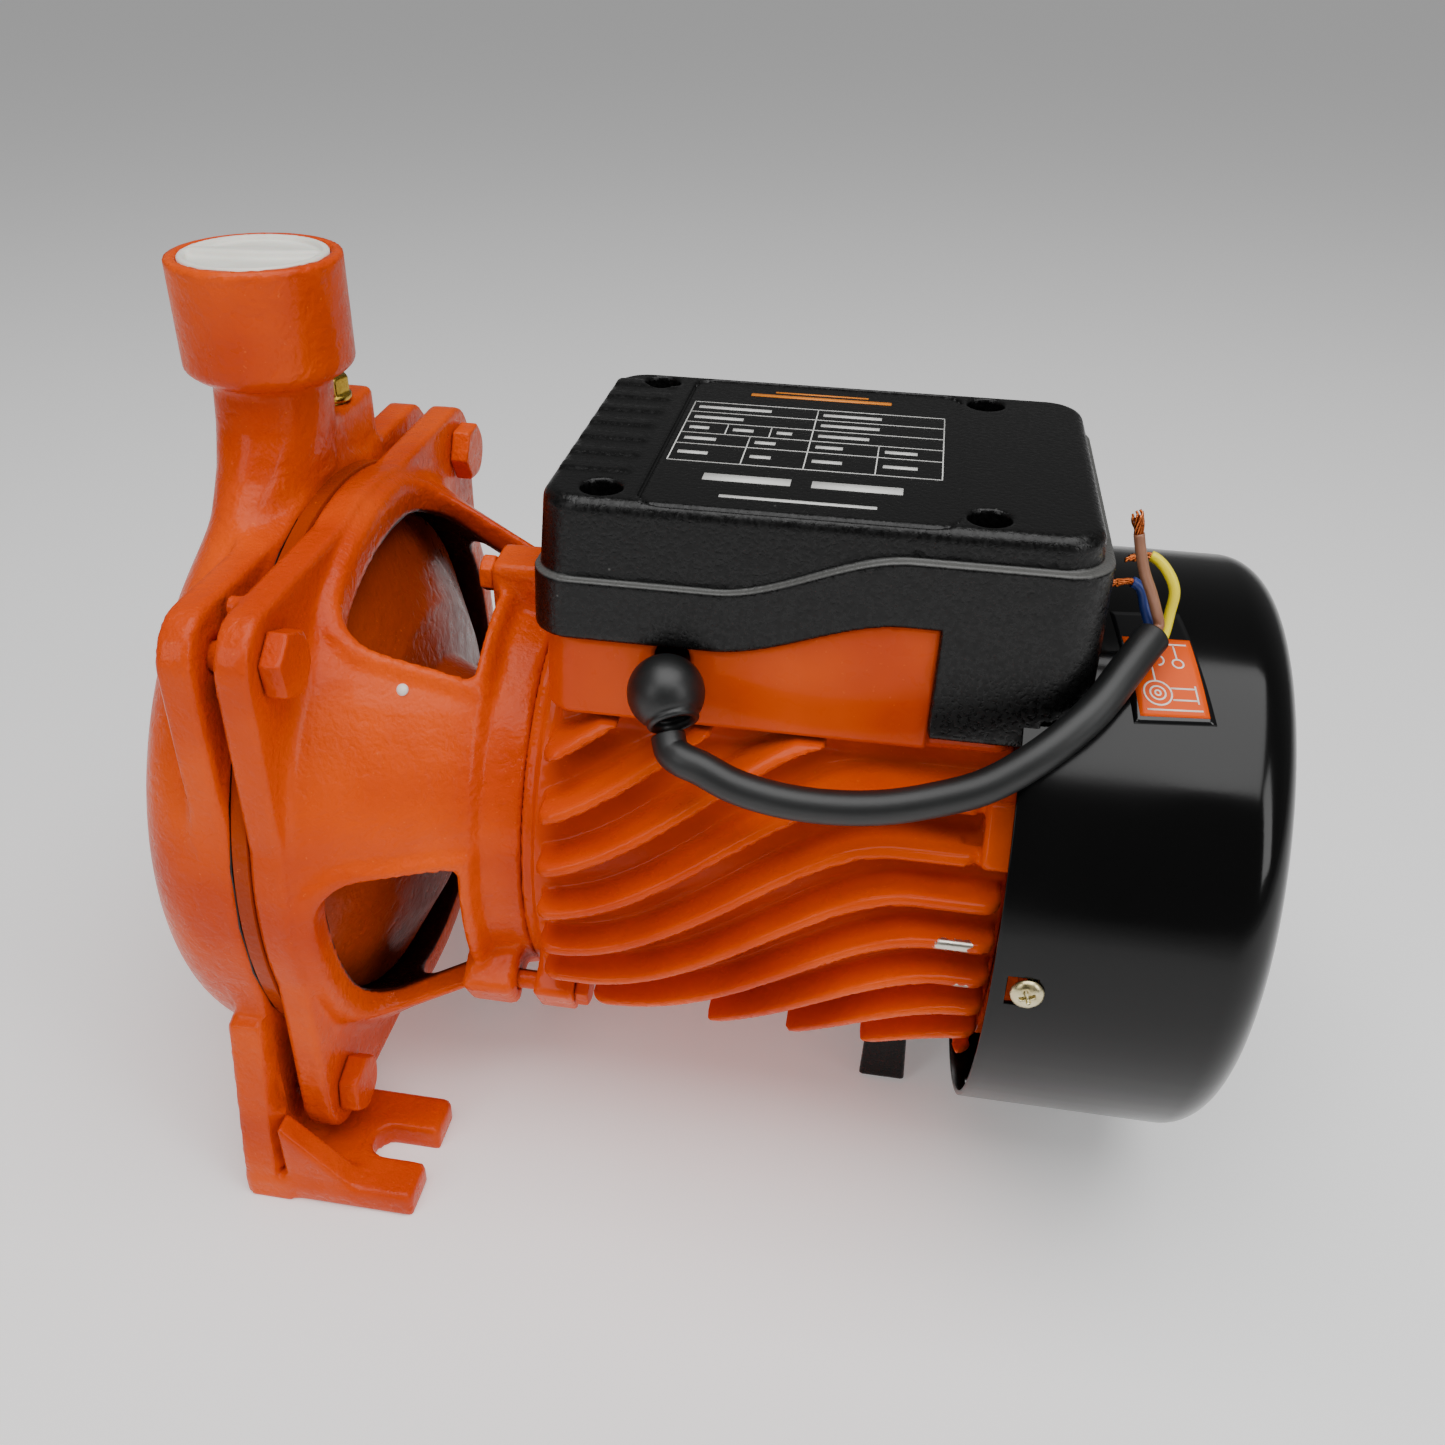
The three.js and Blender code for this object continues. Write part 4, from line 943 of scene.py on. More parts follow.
def boxCoverField(x, y, z):
    # A lower and an upper block with ribs and a sunken panel, hollow, with four screw posts.
    b = termBox
    front, rear, half, top = b["front"], b["rear"], b["halfWidth"], b["top"]
    lower = draftedBlock(x, y, z, (front, rear + 1), half, (50, 130), b["corner"], 2.0, 0.5)
    ledge = riseLine(x, b["ledgeHeight"])
    lower = smoothMax(lower, z - ledge, 0.7)
    upper = draftedBlock(x, y, z, (front + b["ledge"] - 0.6, rear - 0.6), half - b["ledge"],
                         (70, top), b["corner"] - 1, 3.2, b["topEdge"])
    shape = smoothMin(lower, upper, 0.5)
    ribs = b["ribs"]
    nearRib = np.clip(np.round((y - ribs["first"]) / ribs["pitch"]), 0, ribs["count"] - 1)
    offset = y - ribs["first"] - nearRib * ribs["pitch"]
    rib = rounded([between(x, *ribs["x"]), np.abs(offset) - 2.6, np.abs(z - top) - ribs["height"]],
                  0.6)
    shape = smoothMin(shape, rib, 1.2)
    xs, ys, corner = b["panel"]
    plan = rounded([between(x, *xs), between(y, *ys)], corner)
    shape = smoothMax(shape, -rounded([plan, top - b["panelDepth"] - z], 0.3), 0.35)
    seam = np.maximum(np.abs(plan) - 0.35, top - 1.3 - z)
    shape = smoothMax(shape, -seam, 0.3)
    inner = draftedBlock(x, y, z, (front + 3, rear - 2.6), half - 3.4, (40, top - 3), 9, 3.0, 1)
    shape = smoothMax(shape, -inner, 0.5)
    screwX, screwX2, screwY = b["screws"]
    nearX = np.where(x < (screwX + screwX2) / 2, screwX, screwX2)
    away = np.hypot(x - nearX, np.abs(y) - screwY)
    post = rounded([away - b["post"], between(z, 94.5, top - 2)], 0.5)
    shape = smoothMin(shape, post, 1.0)
    shape = smoothMax(shape, -rounded([away - b["hole"], 99 - z], 0.3), 0.8)
    shape = smoothMax(shape, -np.maximum(away - b["shankHole"], 90 - z), 0.3)
    under = np.where(x < b["skirtStart"], riseLine(x, b["joint"]) - z, b["skirtBottom"] - z)
    step = np.minimum(np.abs(x - b["skirtStart"]) + 0.5, np.abs(under))
    shape = smoothMax(shape, np.where(under > 0, step, -step), 0.8)
    return smoothMax(shape, -saddleCut(x, y, z), 0.4)


boxBase = {  # spans along the shaft, half width, heights, corner
    "outer": ((77, 206), 54.2, (56.5, 110), 10), "inner": ((80, 203), 51.2, (71, 130), 8),
    "lean": 1.6, "gap": 0.3, "skirtSide": 52.2,
    "leadHole": (113.5, 76.5, 5), "wireHole": (120, 8, 75),
}


def boxBaseField(x, y, z):
    # A hollow block under the cover's joint, with holes for the lead and the motor's wires.
    b = boxBase
    shape = draftedBlock(x, y, z, *b["outer"], b["lean"], 1.6)
    shape = smoothMax(shape, -draftedBlock(x, y, z, *b["inner"], b["lean"], 1), 0.6)
    shape = smoothMax(shape, z - riseLine(x, termBox["joint"]) + b["gap"], 0.4)
    ahead = termBox["skirtStart"] - b["gap"] - x
    skirt = np.maximum(ahead, b["skirtSide"] - np.abs(y))
    skirt = np.where(np.abs(y) > b["skirtSide"] + 0.2, ahead, skirt)
    shape = smoothMax(shape, -skirt, 0.8)
    shape = smoothMax(shape, -saddleCut(x, y, z), 0.4)
    holeX, holeZ, radius = b["leadHole"]
    shape = smoothMax(shape, -np.maximum(np.hypot(x - holeX, z - holeZ) - radius, y + 40), 0.4)
    holeX, radius, top = b["wireHole"]
    return smoothMax(shape, -np.maximum(np.hypot(x - holeX, y) - radius, z - top), 0.4)


castPiece("box_cover_shell", boxCoverField, (70, -60, 54), (228, 60, 122), 0.85,
          "cover_black", ["terminal_box_cover"], keep=0.42)
castPiece("box_base_shell", boxBaseField, (73, -58, 54), (210, 58, 98), 1.1,
          "pressed_enamel", ["terminal_box_base"], keep=0.6)


def printOn(name, bars, slotName, material):
    # Flat prints: each (x0, x1, y0, y1) is a thin pad lying on the panel.
    level = termBox["top"] - termBox["panelDepth"]
    corners = np.array([(0, 0, 0), (1, 0, 0), (1, 1, 0), (0, 1, 0),
                        (0, 0, 1), (1, 0, 1), (1, 1, 1), (0, 1, 1)], float)
    sides = np.array([(0, 3, 2, 1), (4, 5, 6, 7), (0, 1, 5, 4), (1, 2, 6, 5), (2, 3, 7, 6),
                      (3, 0, 4, 7)])
    shapes = []
    for x0, x1, y0, y1 in bars:
        size = np.array([x1 - x0, y1 - y0, 0.13])
        shapes.append((corners * size + (x0, y0, level - 0.05), sides))
    return addPiece(name, buildMesh(name, *merged(shapes)), material, slotName)


plate = {
    "x": (105.5, 178.8), "rows": [28.5, 19.8, 11.1, 2.4, -6.3, -19.2], "line": 0.32,
    "splits": [[0.5], [0.5], [0.17, 0.34, 0.5], [0.27, 0.5, 0.76], [0.27, 0.5, 0.76], []],
}


def makeRatingPlate():
    # An empty table with short blank bars where words would stand.
    (x0, x1), rows, line = plate["x"], plate["rows"], plate["line"]
    bars = [(x0, x1, row - line / 2, row + line / 2) for row in rows]
    bars += [(x, x + line, rows[-1], rows[0]) for x in (x0 - line / 2, x1 - line / 2)]
    for high, low, splits in zip(rows, rows[1:], plate["splits"]):
        stops = [x0] + [x0 + (x1 - x0) * split for split in splits] + [x1]
        bars += [(x - line / 2, x + line / 2, low, high) for x in stops[1:-1]]
        middle = (high + low) / 2
        for index, (left, right) in enumerate(zip(stops, stops[1:])):
            share = 0.55 + 0.12 * math.sin(5 * index + low)
            bars.append((left + 1.8, left + 1.8 + (right - left - 3.6) * share,
                         middle - 1.0, middle + 1.0))
    bars += [(117, 140, -31.5, -27), (145.5, 169, -31.5, -27), (123, 163, -42.2, -40.6)]
    white = newMaterial("white pad print", "#D8D8D4", 0.5)[0]
    printOn("rating_plate_print", bars, "cover_black", white)
    orange = newMaterial("orange pad print", "#E8861C", 0.5)[0]
    printOn("rating_plate_stripe", [(121, 163, 37, 39.2), (128, 156, 41, 42)],
            "cover_black", orange)


makeRatingPlate()
print("rating plate made")


# The ball gland.

gland = {  # the lip and the ring are (radius, distance along the lead, thickness)
    "centre": (113.5, -61.8, 71), "ball": 10.3, "wall": -54.4, "cell": 0.55,
    "end": 8.1, "lip": (6.1, 8.2, 0.95), "ring": (7.6, 7.4, 0.45), "bore": (4.75, 6.2),
}


def glandField(x, y, z):
    # A ball on the wall; a collar with a rolled lip and a groove holds the lead.
    centre = np.array(gland["centre"])
    ahead = np.array(lead["route"][1]) - np.array(lead["route"][0])
    ahead = ahead / np.linalg.norm(ahead)
    offset = [x - centre[0], y - centre[1], z - centre[2]]
    along = sum(part * share for part, share in zip(offset, ahead))
    size = np.sqrt(sum(part ** 2 for part in offset))
    across = np.sqrt(np.maximum(size ** 2 - along ** 2, 0))
    lip, ring = (np.hypot(across - radius, along - place) - thick
                 for radius, place, thick in (gland["lip"], gland["ring"]))
    shape = smoothMax(size - gland["ball"], along - gland["end"], 0.6)
    shape = smoothMin(shape, lip, 0.5)
    bore = np.maximum(across - gland["bore"][0], gland["bore"][1] - along)
    shape = smoothMax(shape, -bore, 0.4)
    shape = smoothMax(shape, -ring, 0.3)
    return smoothMax(shape, y - gland["wall"], 0.3)


castPiece("gland_ball", glandField, (101, -74, 58), (126, -52, 84), gland["cell"],
          "rubber_black", ["cable_gland"])


# The transport caps of the two ports.

cap = {"radius": 20.5, "inside": 18.4, "deep": 14, "floor": 2.4, "turn": 8, "cell": 0.75}


def capField(x, y, z):
    # A shallow cup, open below, with a sunken top and a low rounded rib across it.
    radius = np.hypot(x, y)
    cup = rounded([radius - cap["radius"], between(z, -cap["deep"], 0.4)], 0.9)
    cup = smoothMax(cup, -rounded([radius - cap["inside"], z + cap["floor"]], 0.5), 0.4)
    dish = rounded([radius - 18.2, -1.1 - z], 0.8)
    cup = smoothMax(cup, -dish, 0.8)
    swell = 2.6 * np.sqrt(np.clip(1 - (x / 18.6) ** 2, 0, 1)) + 0.4
    rib = rounded([np.abs(y) - swell, np.abs(x) - cap["inside"], between(z, -2, 0.9)], 1.2)
    rib = smoothMax(rib, radius - 19, 0.5)
    return smoothMin(cup, rib, 1.4)


def turnedAboutZ(x, y, angle):
    # Coordinates along and across a line turned by an angle about z.
    c, s = math.cos(math.radians(angle)), math.sin(math.radians(angle))
    return x * c + y * s, y * c - x * s


def outletCapField(x, y, z):
    across, side = turnedAboutZ(x - casing["outletX"], y, cap["turn"])
    return capField(across, side, z - casing["outletTop"] + 0.2)


def inletCapField(x, y, z):
    return capField(y, z, casing["inlet"] + 0.9 - x)


castPiece("outlet_cap_cup", outletCapField, (-37, -23, 144), (9, 23, 164), cap["cell"],
          "cap_white", ["outlet_cap"], body="outlet_cover")
castPiece("inlet_cap_cup", inletCapField, (-68, -23, -23), (-48, 23, 23), cap["cell"],
          "cap_white", ["inlet_cap"], body="inlet_cover")


# Turned pieces, bolts, screws and plugs.

def turnedPiece(name, corners, slotName, body="pump_body", count=128, ring=True, replaced=None):
    # A closed outline of (x, radius, corner radius) carried round the shaft.
    corners = list(corners)
    if ring:
        middle = tuple(np.mean([corners[0][:2], corners[-1][:2]], axis=0))
        corners = [middle] + corners + [middle]
    line = roundedLine(corners, 4)
    shape = turned(line[:-1] if ring else line, count, ring)
    return addPiece(name, buildMesh(name, *shape), finishes[slotName], slotName,
                    replaced or [], body, sharp=40)


backPlate = [(-1.8, 96, 0.4), (2.7, 96, 0.4), (2.7, 82.5, 0.8), (9, 80, 4), (24, 52, 8),
             (27, 34, 3), (38, 30, 3), (38, 9.5, 0.5), (34, 9.5, 0.3), (34, 16, 0.3),
             (22, 16, 0.5), (22, 48, 4), (6, 76, 4), (-1.8, 82.8, 0.8)]
backPlatePiece = turnedPiece("back_plate_casting", backPlate, "cast_enamel", replaced=["back_plate"])
# The back plate's enamel is made darker: painted shade, for the shadow the dome lies in inside the bracket.
backPlatePiece.data.materials[0] = castEnamel(
    "orange enamel on cast iron in painted shade", 0.2, 0.6, "#983000", "#A83A00")
turnedPiece("seal_seat_ring", [(26.6, 9.5, 0.3), (33.7, 9.5, 0.3), (33.7, 15.7, 0.4),
                               (26.6, 15.7, 0.4)], "seal_ceramic", replaced=["seal_seat"])
turnedPiece("seal_rotary_ring", [(26.3, 7.3, 0.2), (26.3, 11.5, 0.3), (22, 12.5, 1), (20, 15, 1),
                                 (4, 15, 0.5), (4, 7.3, 0.3)], "seal_graphite", "rotor",
            replaced=["seal_rotary"])
turnedPiece("slinger_disc", [(44, 8.8, 0.2), (44, 20, 0.6), (46, 22, 0.8), (48, 20, 0.8),
                             (50, 12, 1), (50, 8.8, 0.2)], "rubber_black", "rotor",
            replaced=["slinger"])


def hexField(x, y, z, flats, height, crown=0.5):
    # Three pairs of flats, and a cone that takes the corners off.
    radius = np.hypot(y, z)
    half, wide = 0.5, math.sqrt(0.75)
    sides = np.maximum(np.abs(y), np.maximum(np.abs(half * y + wide * z),
                                             np.abs(half * y - wide * z))) - flats / 2
    head = smoothMax(sides, between(x, 0, height), crown)
    return smoothMax(head, 0.5 * (radius - flats * 0.5) + 0.87 * (x - height), crown)


def hexBolt(flats, height, shank, length, cell=0.6, crown=0.5):
    # Sizes across flats, head height, shank radius and length.
    def field(x, y, z):
        body = rod(x, y, z, -length, 0.6, shank, 0.3)
        return smoothMin(hexField(x, y, z, flats, height, crown), body, 0.4)

    reach = flats * 0.6 + 1
    return fieldNet(field, (-length - 1, -reach, -reach), (height + 1, reach, reach), cell, 1)


def crossScrew(radius, height, shank, length, cell=0.35):
    # A domed head with a cross recess that narrows as it goes in.
    def field(x, y, z):
        away = np.hypot(y, z)
        dome = np.hypot(np.maximum(x, 0) * radius / height * 0.9, away) - radius
        head = smoothMax(dome, between(x, 0, height), 0.5)
        depth = np.clip((height + 0.1 - x) / 1.7, 0, 1)
        arm = np.minimum(rounded([np.abs(y) - 0.62 + 0.25 * depth, np.abs(z) - 2.5 + depth], 0.1),
                         rounded([np.abs(z) - 0.62 + 0.25 * depth, np.abs(y) - 2.5 + depth], 0.1))
        head = smoothMax(head, -np.maximum(arm, height - 1.6 - x), 0.25)
        return smoothMin(head, rod(x, y, z, -length, 0.4, shank, 0.2), 0.3)

    reach = radius + 1
    return fieldNet(field, (-length - 1, -reach, -reach), (height + 1, reach, reach), cell, 1)


def addShape(name, shape, slotName, replaced, body="pump_body"):
    mesh = buildMesh(name, *shape)
    return addPiece(name, mesh, finishes[slotName], slotName, replaced, body, mend=False)


bolts = {  # seats along the shaft, and each flange bolt's turn in degrees
    "flange": 77.78, "flangeSeat": 12.9, "turn": (8, 31, 14, 50),
    "lowerTieSeat": 86.3, "topTieSeat": 50.7, "shieldSeat": 213.8,
}


def makeBolts():
    flange = hexBolt(17, 6.3, 4.1, 26)
    for i, (side, height) in enumerate([(-1, 1), (1, 1), (1, -1), (-1, -1)]):
        origin = (bolts["flangeSeat"], side * bolts["flange"], height * bolts["flange"])
        addShape(f"flange_bolt_head_{i + 1}", placed(flange, origin, (1, 0, 0), bolts["turn"][i]),
                 "cast_enamel", [f"flange_bolt_{i + 1}"])
    # two tie screws go in from behind and the third from the front
    long, short = (hexBolt(10, 4.2, 3, length, 0.5, 0.4) for length in (34, 25))
    shield = hexBolt(8, 3.7, 3, 12.7, 0.5, 0.4)
    rows = [("tie", i + 1, long, bolts["lowerTieSeat"], angle, (1, 0, 0), 12, "cast_enamel")
            for i, angle in enumerate(bracketShape["ties"][:2])]
    rows.append(("tie", 3, short, bolts["topTieSeat"], bracketShape["ties"][2], (-1, 0, 0), 5,
                 "cast_enamel"))
    rows += [("shield", i + 1, shield, bolts["shieldSeat"], angle, (1, 0, 0), 20, "bolt_zinc")
             for i, angle in enumerate(housing["rearLugs"])]
    for kind, number, shape, seat, angle, axis, turn, slotName in rows:
        place = (seat, *onCircle(bracketShape["tieCircle"], angle))
        addShape(f"{kind}_screw_head_{number}", placed(shape, place, axis, turn), slotName,
                 [f"{kind}_screw_{number}"])


def hexPlug(height, length):
    # A turned collar under a hexagon, with the thread below.
    def field(x, y, z):
        head = hexField(x - 1.8, y, z, 11, height, 0.6)
        collar = rod(x, y, z, 0, 2.1, 6.8, 0.6)
        away = np.hypot(y, z)
        thread = rounded([away - 4.9 + 0.3 * np.cos(2 * np.pi * x / 1.4), between(x, -length, 0.5)],
                         0.3)
        dimple = np.maximum(away - 2.4, height + 1.3 - x)
        shape = smoothMin(smoothMin(head, collar, 0.5), thread, 0.3)
        return smoothMax(shape, -dimple, 0.4)

    return fieldNet(field, (-length - 1, -8, -8), (height + 3.5, 8, 8), 0.45, 1)


def makePlugs():
    addShape("priming_plug_brass", placed(hexPlug(6, 11), (*casing["priming"], 110.3), (0, 0, 1), 11),
             "plug_brass", ["priming_plug"], "priming_screw")
    addShape("drain_plug_brass", placed(hexPlug(5, 8), (-37.3, 0, casing["drainZ"]), (-1, 0, 0), 20),
             "plug_brass", ["drain_plug"], "drain_screw")


makeBolts()
makePlugs()
print("turned pieces, bolts and plugs made")


# The fan cover.

fanCover = {
    "front": 206, "rear": 277, "radius": 88, "corner": 13, "wall": 1.6,
    "screwX": 215.5, "screwAngles": (4, 176, 240, 300), "slot": (2.5, 4.5),
    "grille": ((22, 42, 3), (48, 68, 6)), "perRing": 8,
    "columns": 176, "rows": (222, 234, 246, 256),
}


def makeFanCover():
    # The profile turned round the shaft, its faces left out in the slots; the sheet is then
    # given its thickness. Lines of the grid run along every edge of every slot.
    c = fanCover
    steps = 2 * np.pi / c["columns"]
    edges = [math.radians(a) + side * c["slot"][1] / c["radius"]
             for a in c["screwAngles"] for side in (-1, 1)]
    for row, (inner, outer, half) in enumerate(c["grille"]):
        for i in range(c["perRing"]):
            middle = 2 * np.pi * (i + row / 2) / c["perRing"]
            edges += [middle + side * 2 * half / (inner + outer) * 1.15 for side in (-1, 1)]
    edges = np.sort(np.mod(edges, 2 * np.pi))
    angles = np.arange(c["columns"]) * steps
    apart = np.abs(angles[:, None] - edges).min(1)
    angles = np.sort(np.concatenate([angles[apart > 0.4 * steps], edges]))
    profile = roundedLine([(c["front"], c["radius"]), (c["rear"], c["radius"], c["corner"]),
                           (c["rear"], 0)], 14)[1:-1]
    slotX = [c["screwX"] - 5.4, c["screwX"] + c["slot"][0]]
    barrel = [c["front"], c["front"] + 3, *slotX, *c["rows"]]
    rings = [75.2, 72, *(r for ring in c["grille"][::-1] for r in (ring[1], ring[0])), 12, 0]
    line = np.array([(x, c["radius"]) for x in barrel] + [tuple(p) for p in profile]
                    + [(c["rear"], r) for r in rings if r < 75])
    x, radius = line[:, :1], line[:, 1:]
    points = np.stack([x + 0 * angles, -radius * np.cos(angles), radius * np.sin(angles)], -1)
    faces = gridFaces(len(line), len(angles))
    middleX = (x[:-1] + x[1:]) / 2 + 0 * angles
    middleR = (radius[:-1] + radius[1:]) / 2 + 0 * angles
    after = np.roll(angles, -1) + 2 * np.pi * (np.arange(len(angles)) == len(angles) - 1)
    middleA = np.mod((angles + after) / 2, 2 * np.pi) + 0 * x[:-1]

    def near(centres, half):
        gap = np.mod(middleA[..., None] - np.array(centres) + np.pi, 2 * np.pi) - np.pi
        return (np.abs(gap) < half).any(-1)

    screwA = [math.radians(a) for a in c["screwAngles"]]
    isOpen = near(screwA, c["slot"][1] / c["radius"]) & (middleX > slotX[0]) & (middleX < slotX[1])
    for row, (inner, outer, half) in enumerate(c["grille"]):
        centres = [2 * np.pi * (i + row / 2) / c["perRing"] for i in range(c["perRing"])]
        inRing = (middleX > c["rear"] - 0.1) & (middleR > inner) & (middleR < outer)
        isOpen |= inRing & near(centres, 2.3 * half / (inner + outer))
    faces = faces[~isOpen.ravel()]
    mesh = buildMesh("fan_cover_shell", points.reshape(-1, 3), faces)
    cover = addPiece("fan_cover_shell", mesh, finishes["fan_cover_black"], "fan_cover_black",
                     ["fan_cover"])
    wall = cover.modifiers.new("sheet thickness", "SOLIDIFY")
    wall.thickness = c["wall"] * mm
    wall.offset = -1
    wall.use_even_offset = True
    soften = cover.modifiers.new("edge softening", "BEVEL")
    soften.width = 0.35 * mm
    soften.segments = 2
    soften.limit_method = "ANGLE"
    soften.angle_limit = math.radians(50)
    return cover


def makeCoverScrews():
    template = crossScrew(4.6, 2.2, 2, 18.6)
    for i, angle in enumerate(fanCover["screwAngles"]):
        away = np.array([0, *onCircle(1, angle)])
        origin = np.array([fanCover["screwX"], 0, 0]) + away * (fanCover["radius"] + 0.1)
        addShape(f"fan_cover_screw_head_{i + 1}", placed(template, origin, away, 20 + 25 * i),
                 "screw_zinc", [f"fan_cover_screw_{i + 1}"])
    box = crossScrew(3.9, 2.4, 2, 12.2)
    x1, x2, side = termBox["screws"]
    for i, (x, y) in enumerate([(x1, -side), (x1, side), (x2, -side), (x2, side)]):
        addShape(f"box_screw_head_{i + 1}", placed(box, (x, y, 100.3), (0, 0, 1), 10 + 30 * i),
                 "screw_zinc", [f"box_screw_{i + 1}"])


makeFanCover()
makeCoverScrews()
print("fan cover and screws made")


# The sticker on the fan cover.

sticker = {"corners": [(230.3, 70.5), (247.6, 70.9), (252.4, 55.4), (235.1, 54.7)],
           "border": [(227.4, 76.5), (245.6, 77.5), (254.1, 54.2), (233.6, 53.2)],
           "radius": 88.02, "line": 0.45, "size": (17.5, 24.0)}


def onCover(corners, u, v, level):
    # u runs along the first side, v down from it; the patch follows the round cover.
    (x0, a0), (x1, a1), (x2, a2), (x3, a3) = corners
    x = (x0 * (1 - u) + x1 * u) * (1 - v) + (x3 * (1 - u) + x2 * u) * v
    angle = np.radians((a0 * (1 - u) + a1 * u) * (1 - v) + (a3 * (1 - u) + a2 * u) * v)
    radius = sticker["radius"] + level
    return np.stack([x, -radius * np.cos(angle), radius * np.sin(angle)], -1)


def stickerPad(corners, low, high, rows=12, columns=24):
    # Two layers of one patch, joined round the rim.
    u, v = np.meshgrid(np.linspace(0, 1, rows), np.linspace(0, 1, columns), indexing="ij")
    ringU = np.stack([u, u], 0)
    level = np.stack([u * 0 + low, u * 0 + high], 0)
    points = onCover(corners, ringU, np.stack([v, v], 0), level).reshape(-1, 3)
    sheet, count = gridFaces(rows, columns, wrapColumns=False), rows * columns
    rim = np.concatenate([np.arange(columns), columns * np.arange(1, rows) + columns - 1,
                          count - columns + np.arange(columns - 2, -1, -1),
                          columns * np.arange(rows - 2, 0, -1)])
    ahead = np.roll(rim, -1)
    skirt = np.stack([rim, ahead, ahead + count, rim + count], 1)
    return points, np.concatenate([sheet[:, ::-1], sheet + count, skirt])


def stickerLine(path, width, low, high):
    # A line of the drawing: a flat strip whose middle follows the path in (u, v).
    size = np.array(sticker["size"])
    path = np.array(path, float) * size
    along = np.gradient(path, axis=0)
    along /= np.maximum(np.linalg.norm(along, axis=1, keepdims=True), 1e-9)
    side = np.stack([-along[:, 1], along[:, 0]], 1) * width / 2
    left, right = (path + side) / size, (path - side) / size
    corners = sticker["corners"]
    rings = [onCover(corners, *edge.T, level) for edge, level in
             ((left, low), (right, low), (right, high), (left, high))]
    rings = np.stack(rings, 1)
    first, last = rings[:1].mean(1, keepdims=True), rings[-1:].mean(1, keepdims=True)
    rings = np.concatenate([np.repeat(first, 4, 1), rings, np.repeat(last, 4, 1)])
    return rings.reshape(-1, 3), gridFaces(len(rings), 4)


def makeSticker():
    film = newMaterial("clear film over black", "#0B0B0C", 0.12)[0]
    orange = newMaterial("orange printed label", "#E05000", 0.32, Specular_IOR_Level=0.15)[0]
    white = newMaterial("white printed line", "#F2E9DC", 0.4)[0]
    pads = [("sticker_film", sticker["border"], 0.0, 0.08, film),
            ("sticker_face", sticker["corners"], 0.06, 0.16, orange)]
    for name, corners, low, high, material in pads:
        addPiece(name, buildMesh(name, *stickerPad(corners, low, high)), material,
                 "fan_cover_black")

    def loop(u, v, a, b, start=0.0, share=1.0):
        t = start + np.linspace(0, 2 * np.pi * share, 26)
        return np.stack([u + a * np.cos(t), v + b * np.sin(t)], 1)

    drawing = [
        loop(0.32, 0.72, 0.2, 0.145), loop(0.32, 0.72, 0.11, 0.08), loop(0.32, 0.72, 0.04, 0.03),
        [(0.52, 0.66), (0.7, 0.66), (0.88, 0.66)], [(0.52, 0.8), (0.7, 0.8), (0.88, 0.8)],
        [(0.88, 0.62), (0.88, 0.72), (0.88, 0.84)], [(0.12, 0.92), (0.5, 0.92), (0.92, 0.92)],
        [(0.32, 0.57), (0.32, 0.46), (0.32, 0.36)], loop(0.42, 0.3, 0.1, 0.07, 3.1, 0.75),
        loop(0.72, 0.34, 0.08, 0.055), [(0.72, 0.28), (0.72, 0.18), (0.72, 0.1)],
        [(0.12, 0.08), (0.5, 0.08), (0.92, 0.08)],
    ]
    lines = [stickerLine(path, sticker["line"], 0.14, 0.22) for path in drawing]
    addPiece("sticker_drawing", buildMesh("sticker_drawing", *merged(lines)), white,
             "fan_cover_black")


makeSticker()
print("sticker made")


# The support foot and the paint mark.

support = {
    "side": [(175, -106), (194, -106), (192, -70.3), (176, -70.3)], "halfWidth": 19,
    "hollow": ((171, 190.5), (-16, 16), (-110, -74)), "edge": 1.5,
}


def supportField(x, y, z):
    # A tapered foot, hollow from below.
    body = outline(x, z, support["side"]) + support["edge"]
    shape = rounded([body, np.abs(y) - support["halfWidth"]], support["edge"])
    return smoothMax(shape, -block(x, y, z, *support["hollow"], support["edge"]), 0.6)


castPiece("support_foot_moulding", supportField, (170, -22, -109), (198, 22, -67), 0.9,
          "cover_black", ["support_foot"], keep=0.5)


paintDab = {"place": (37.0, -53.9, 58.4), "away": (0, -0.66, 0.75), "radius": 1.8, "flat": 1.5}


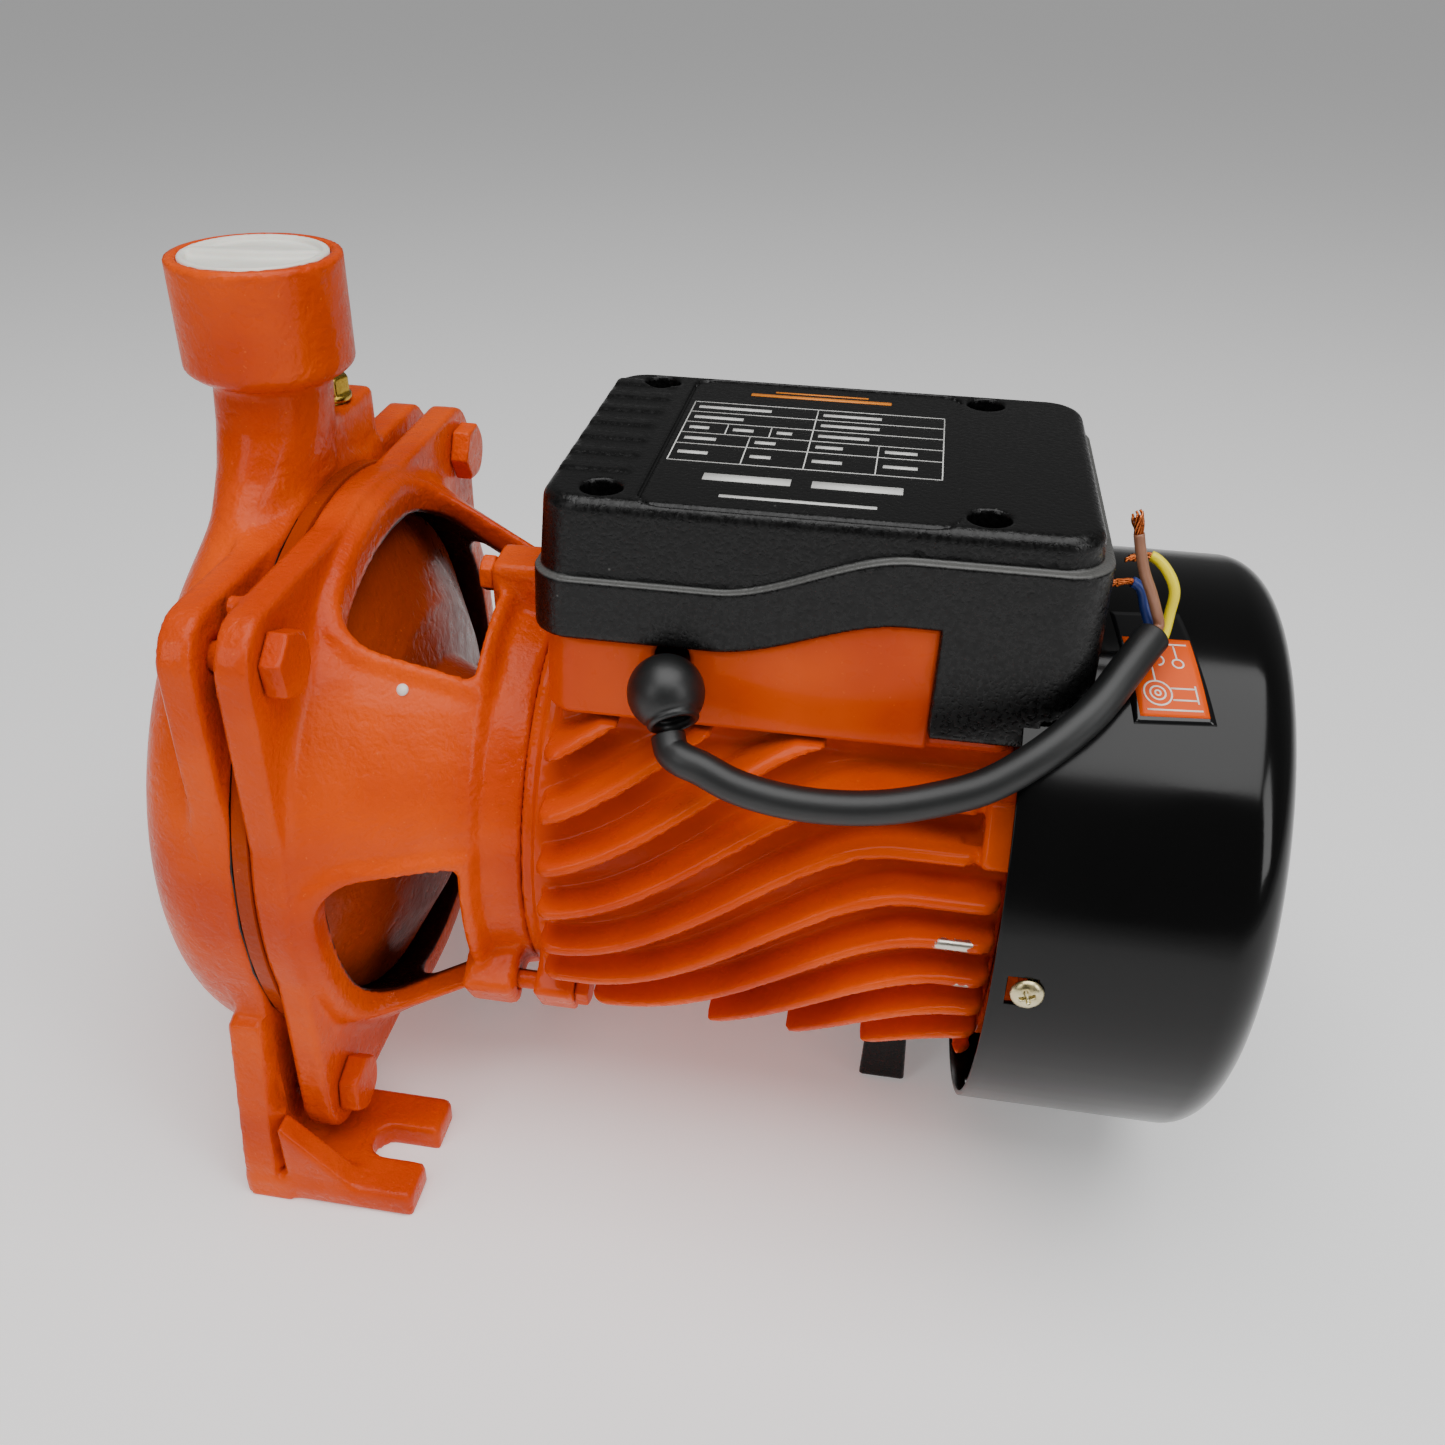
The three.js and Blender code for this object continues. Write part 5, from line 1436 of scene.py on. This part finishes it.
def makePaintDab():
    # A low blob of white paint that marks the bracket as passed.
    white = newMaterial("white paint dab", "#E9E4DC", 0.35)[0]

    def field(x, y, z):
        place, away = paintDab["place"], paintDab["away"]
        along = (y - place[1]) * away[1] + (z - place[2]) * away[2]
        size = np.sqrt((x - place[0]) ** 2 + (y - place[1]) ** 2 + (z - place[2]) ** 2)
        across = np.sqrt(np.maximum(size ** 2 - along ** 2, 0))
        return np.hypot(across, along * paintDab["flat"]) - paintDab["radius"]

    shape = fieldNet(field, (34, -57, 55), (40, -51, 61.5), 0.3, 1)
    addPiece("paint_dab", buildMesh("paint_dab", *shape), white, "cap_white", mend=False)


makePaintDab()
print("paint mark made")


# The floor and the lights.

def makeStage():
    mesh = bpy.data.meshes.new("floor")
    size = 20.0
    mesh.from_pydata([(-size, -size, 0), (size, -size, 0), (size, size, 0), (-size, size, 0)],
                     [], [(0, 1, 2, 3)])
    material, tree, shader = newMaterial("pale matt paper", "#FAFAFA", 0.9, Emission_Strength=0.2)
    shader.inputs["Emission Color"].default_value = toLinear("#FFFFFF")
    mesh.materials.append(material)
    floor = bpy.data.objects.new("floor", mesh)
    bpy.context.scene.collection.objects.link(floor)
    world = bpy.data.worlds.new("studio")
    world.use_nodes = True
    world.node_tree.nodes["Background"].inputs["Color"].default_value = toLinear("#FFFFFF")
    world.node_tree.nodes["Background"].inputs["Strength"].default_value = 0.16
    bpy.context.scene.world = world


softBoxes = {
    "top": {"place": (0.15, -0.3, 1.22), "target": (0.15, -0.3, 0), "size": (1.3, 1.1), "power": 17.5},
    "front": {"place": (-0.9, -1.2, 0.9), "target": (-0.05, 0, 0.1), "size": (0.5, 0.9), "power": 4.5},
    "right": {"place": (1.2, -0.7, 0.8), "target": (0.05, 0, 0.1), "size": (0.4, 0.9), "power": 5},
}


def makeLights():
    # Each soft box is a rectangle aimed at its target.
    for name, light in softBoxes.items():
        data = bpy.data.lights.new(name, "AREA")
        data.shape = "RECTANGLE"
        data.size, data.size_y = light["size"]
        data.energy = light["power"]
        item = bpy.data.objects.new(name, data)
        bpy.context.scene.collection.objects.link(item)
        place = Vector(light["place"])
        aim = (Vector(light["target"]) - place).to_track_quat("-Z", "Y")
        item.matrix_world = Matrix.Translation(place) @ aim.to_matrix().to_4x4()


makeStage()
makeLights()
print("stage and lights set")
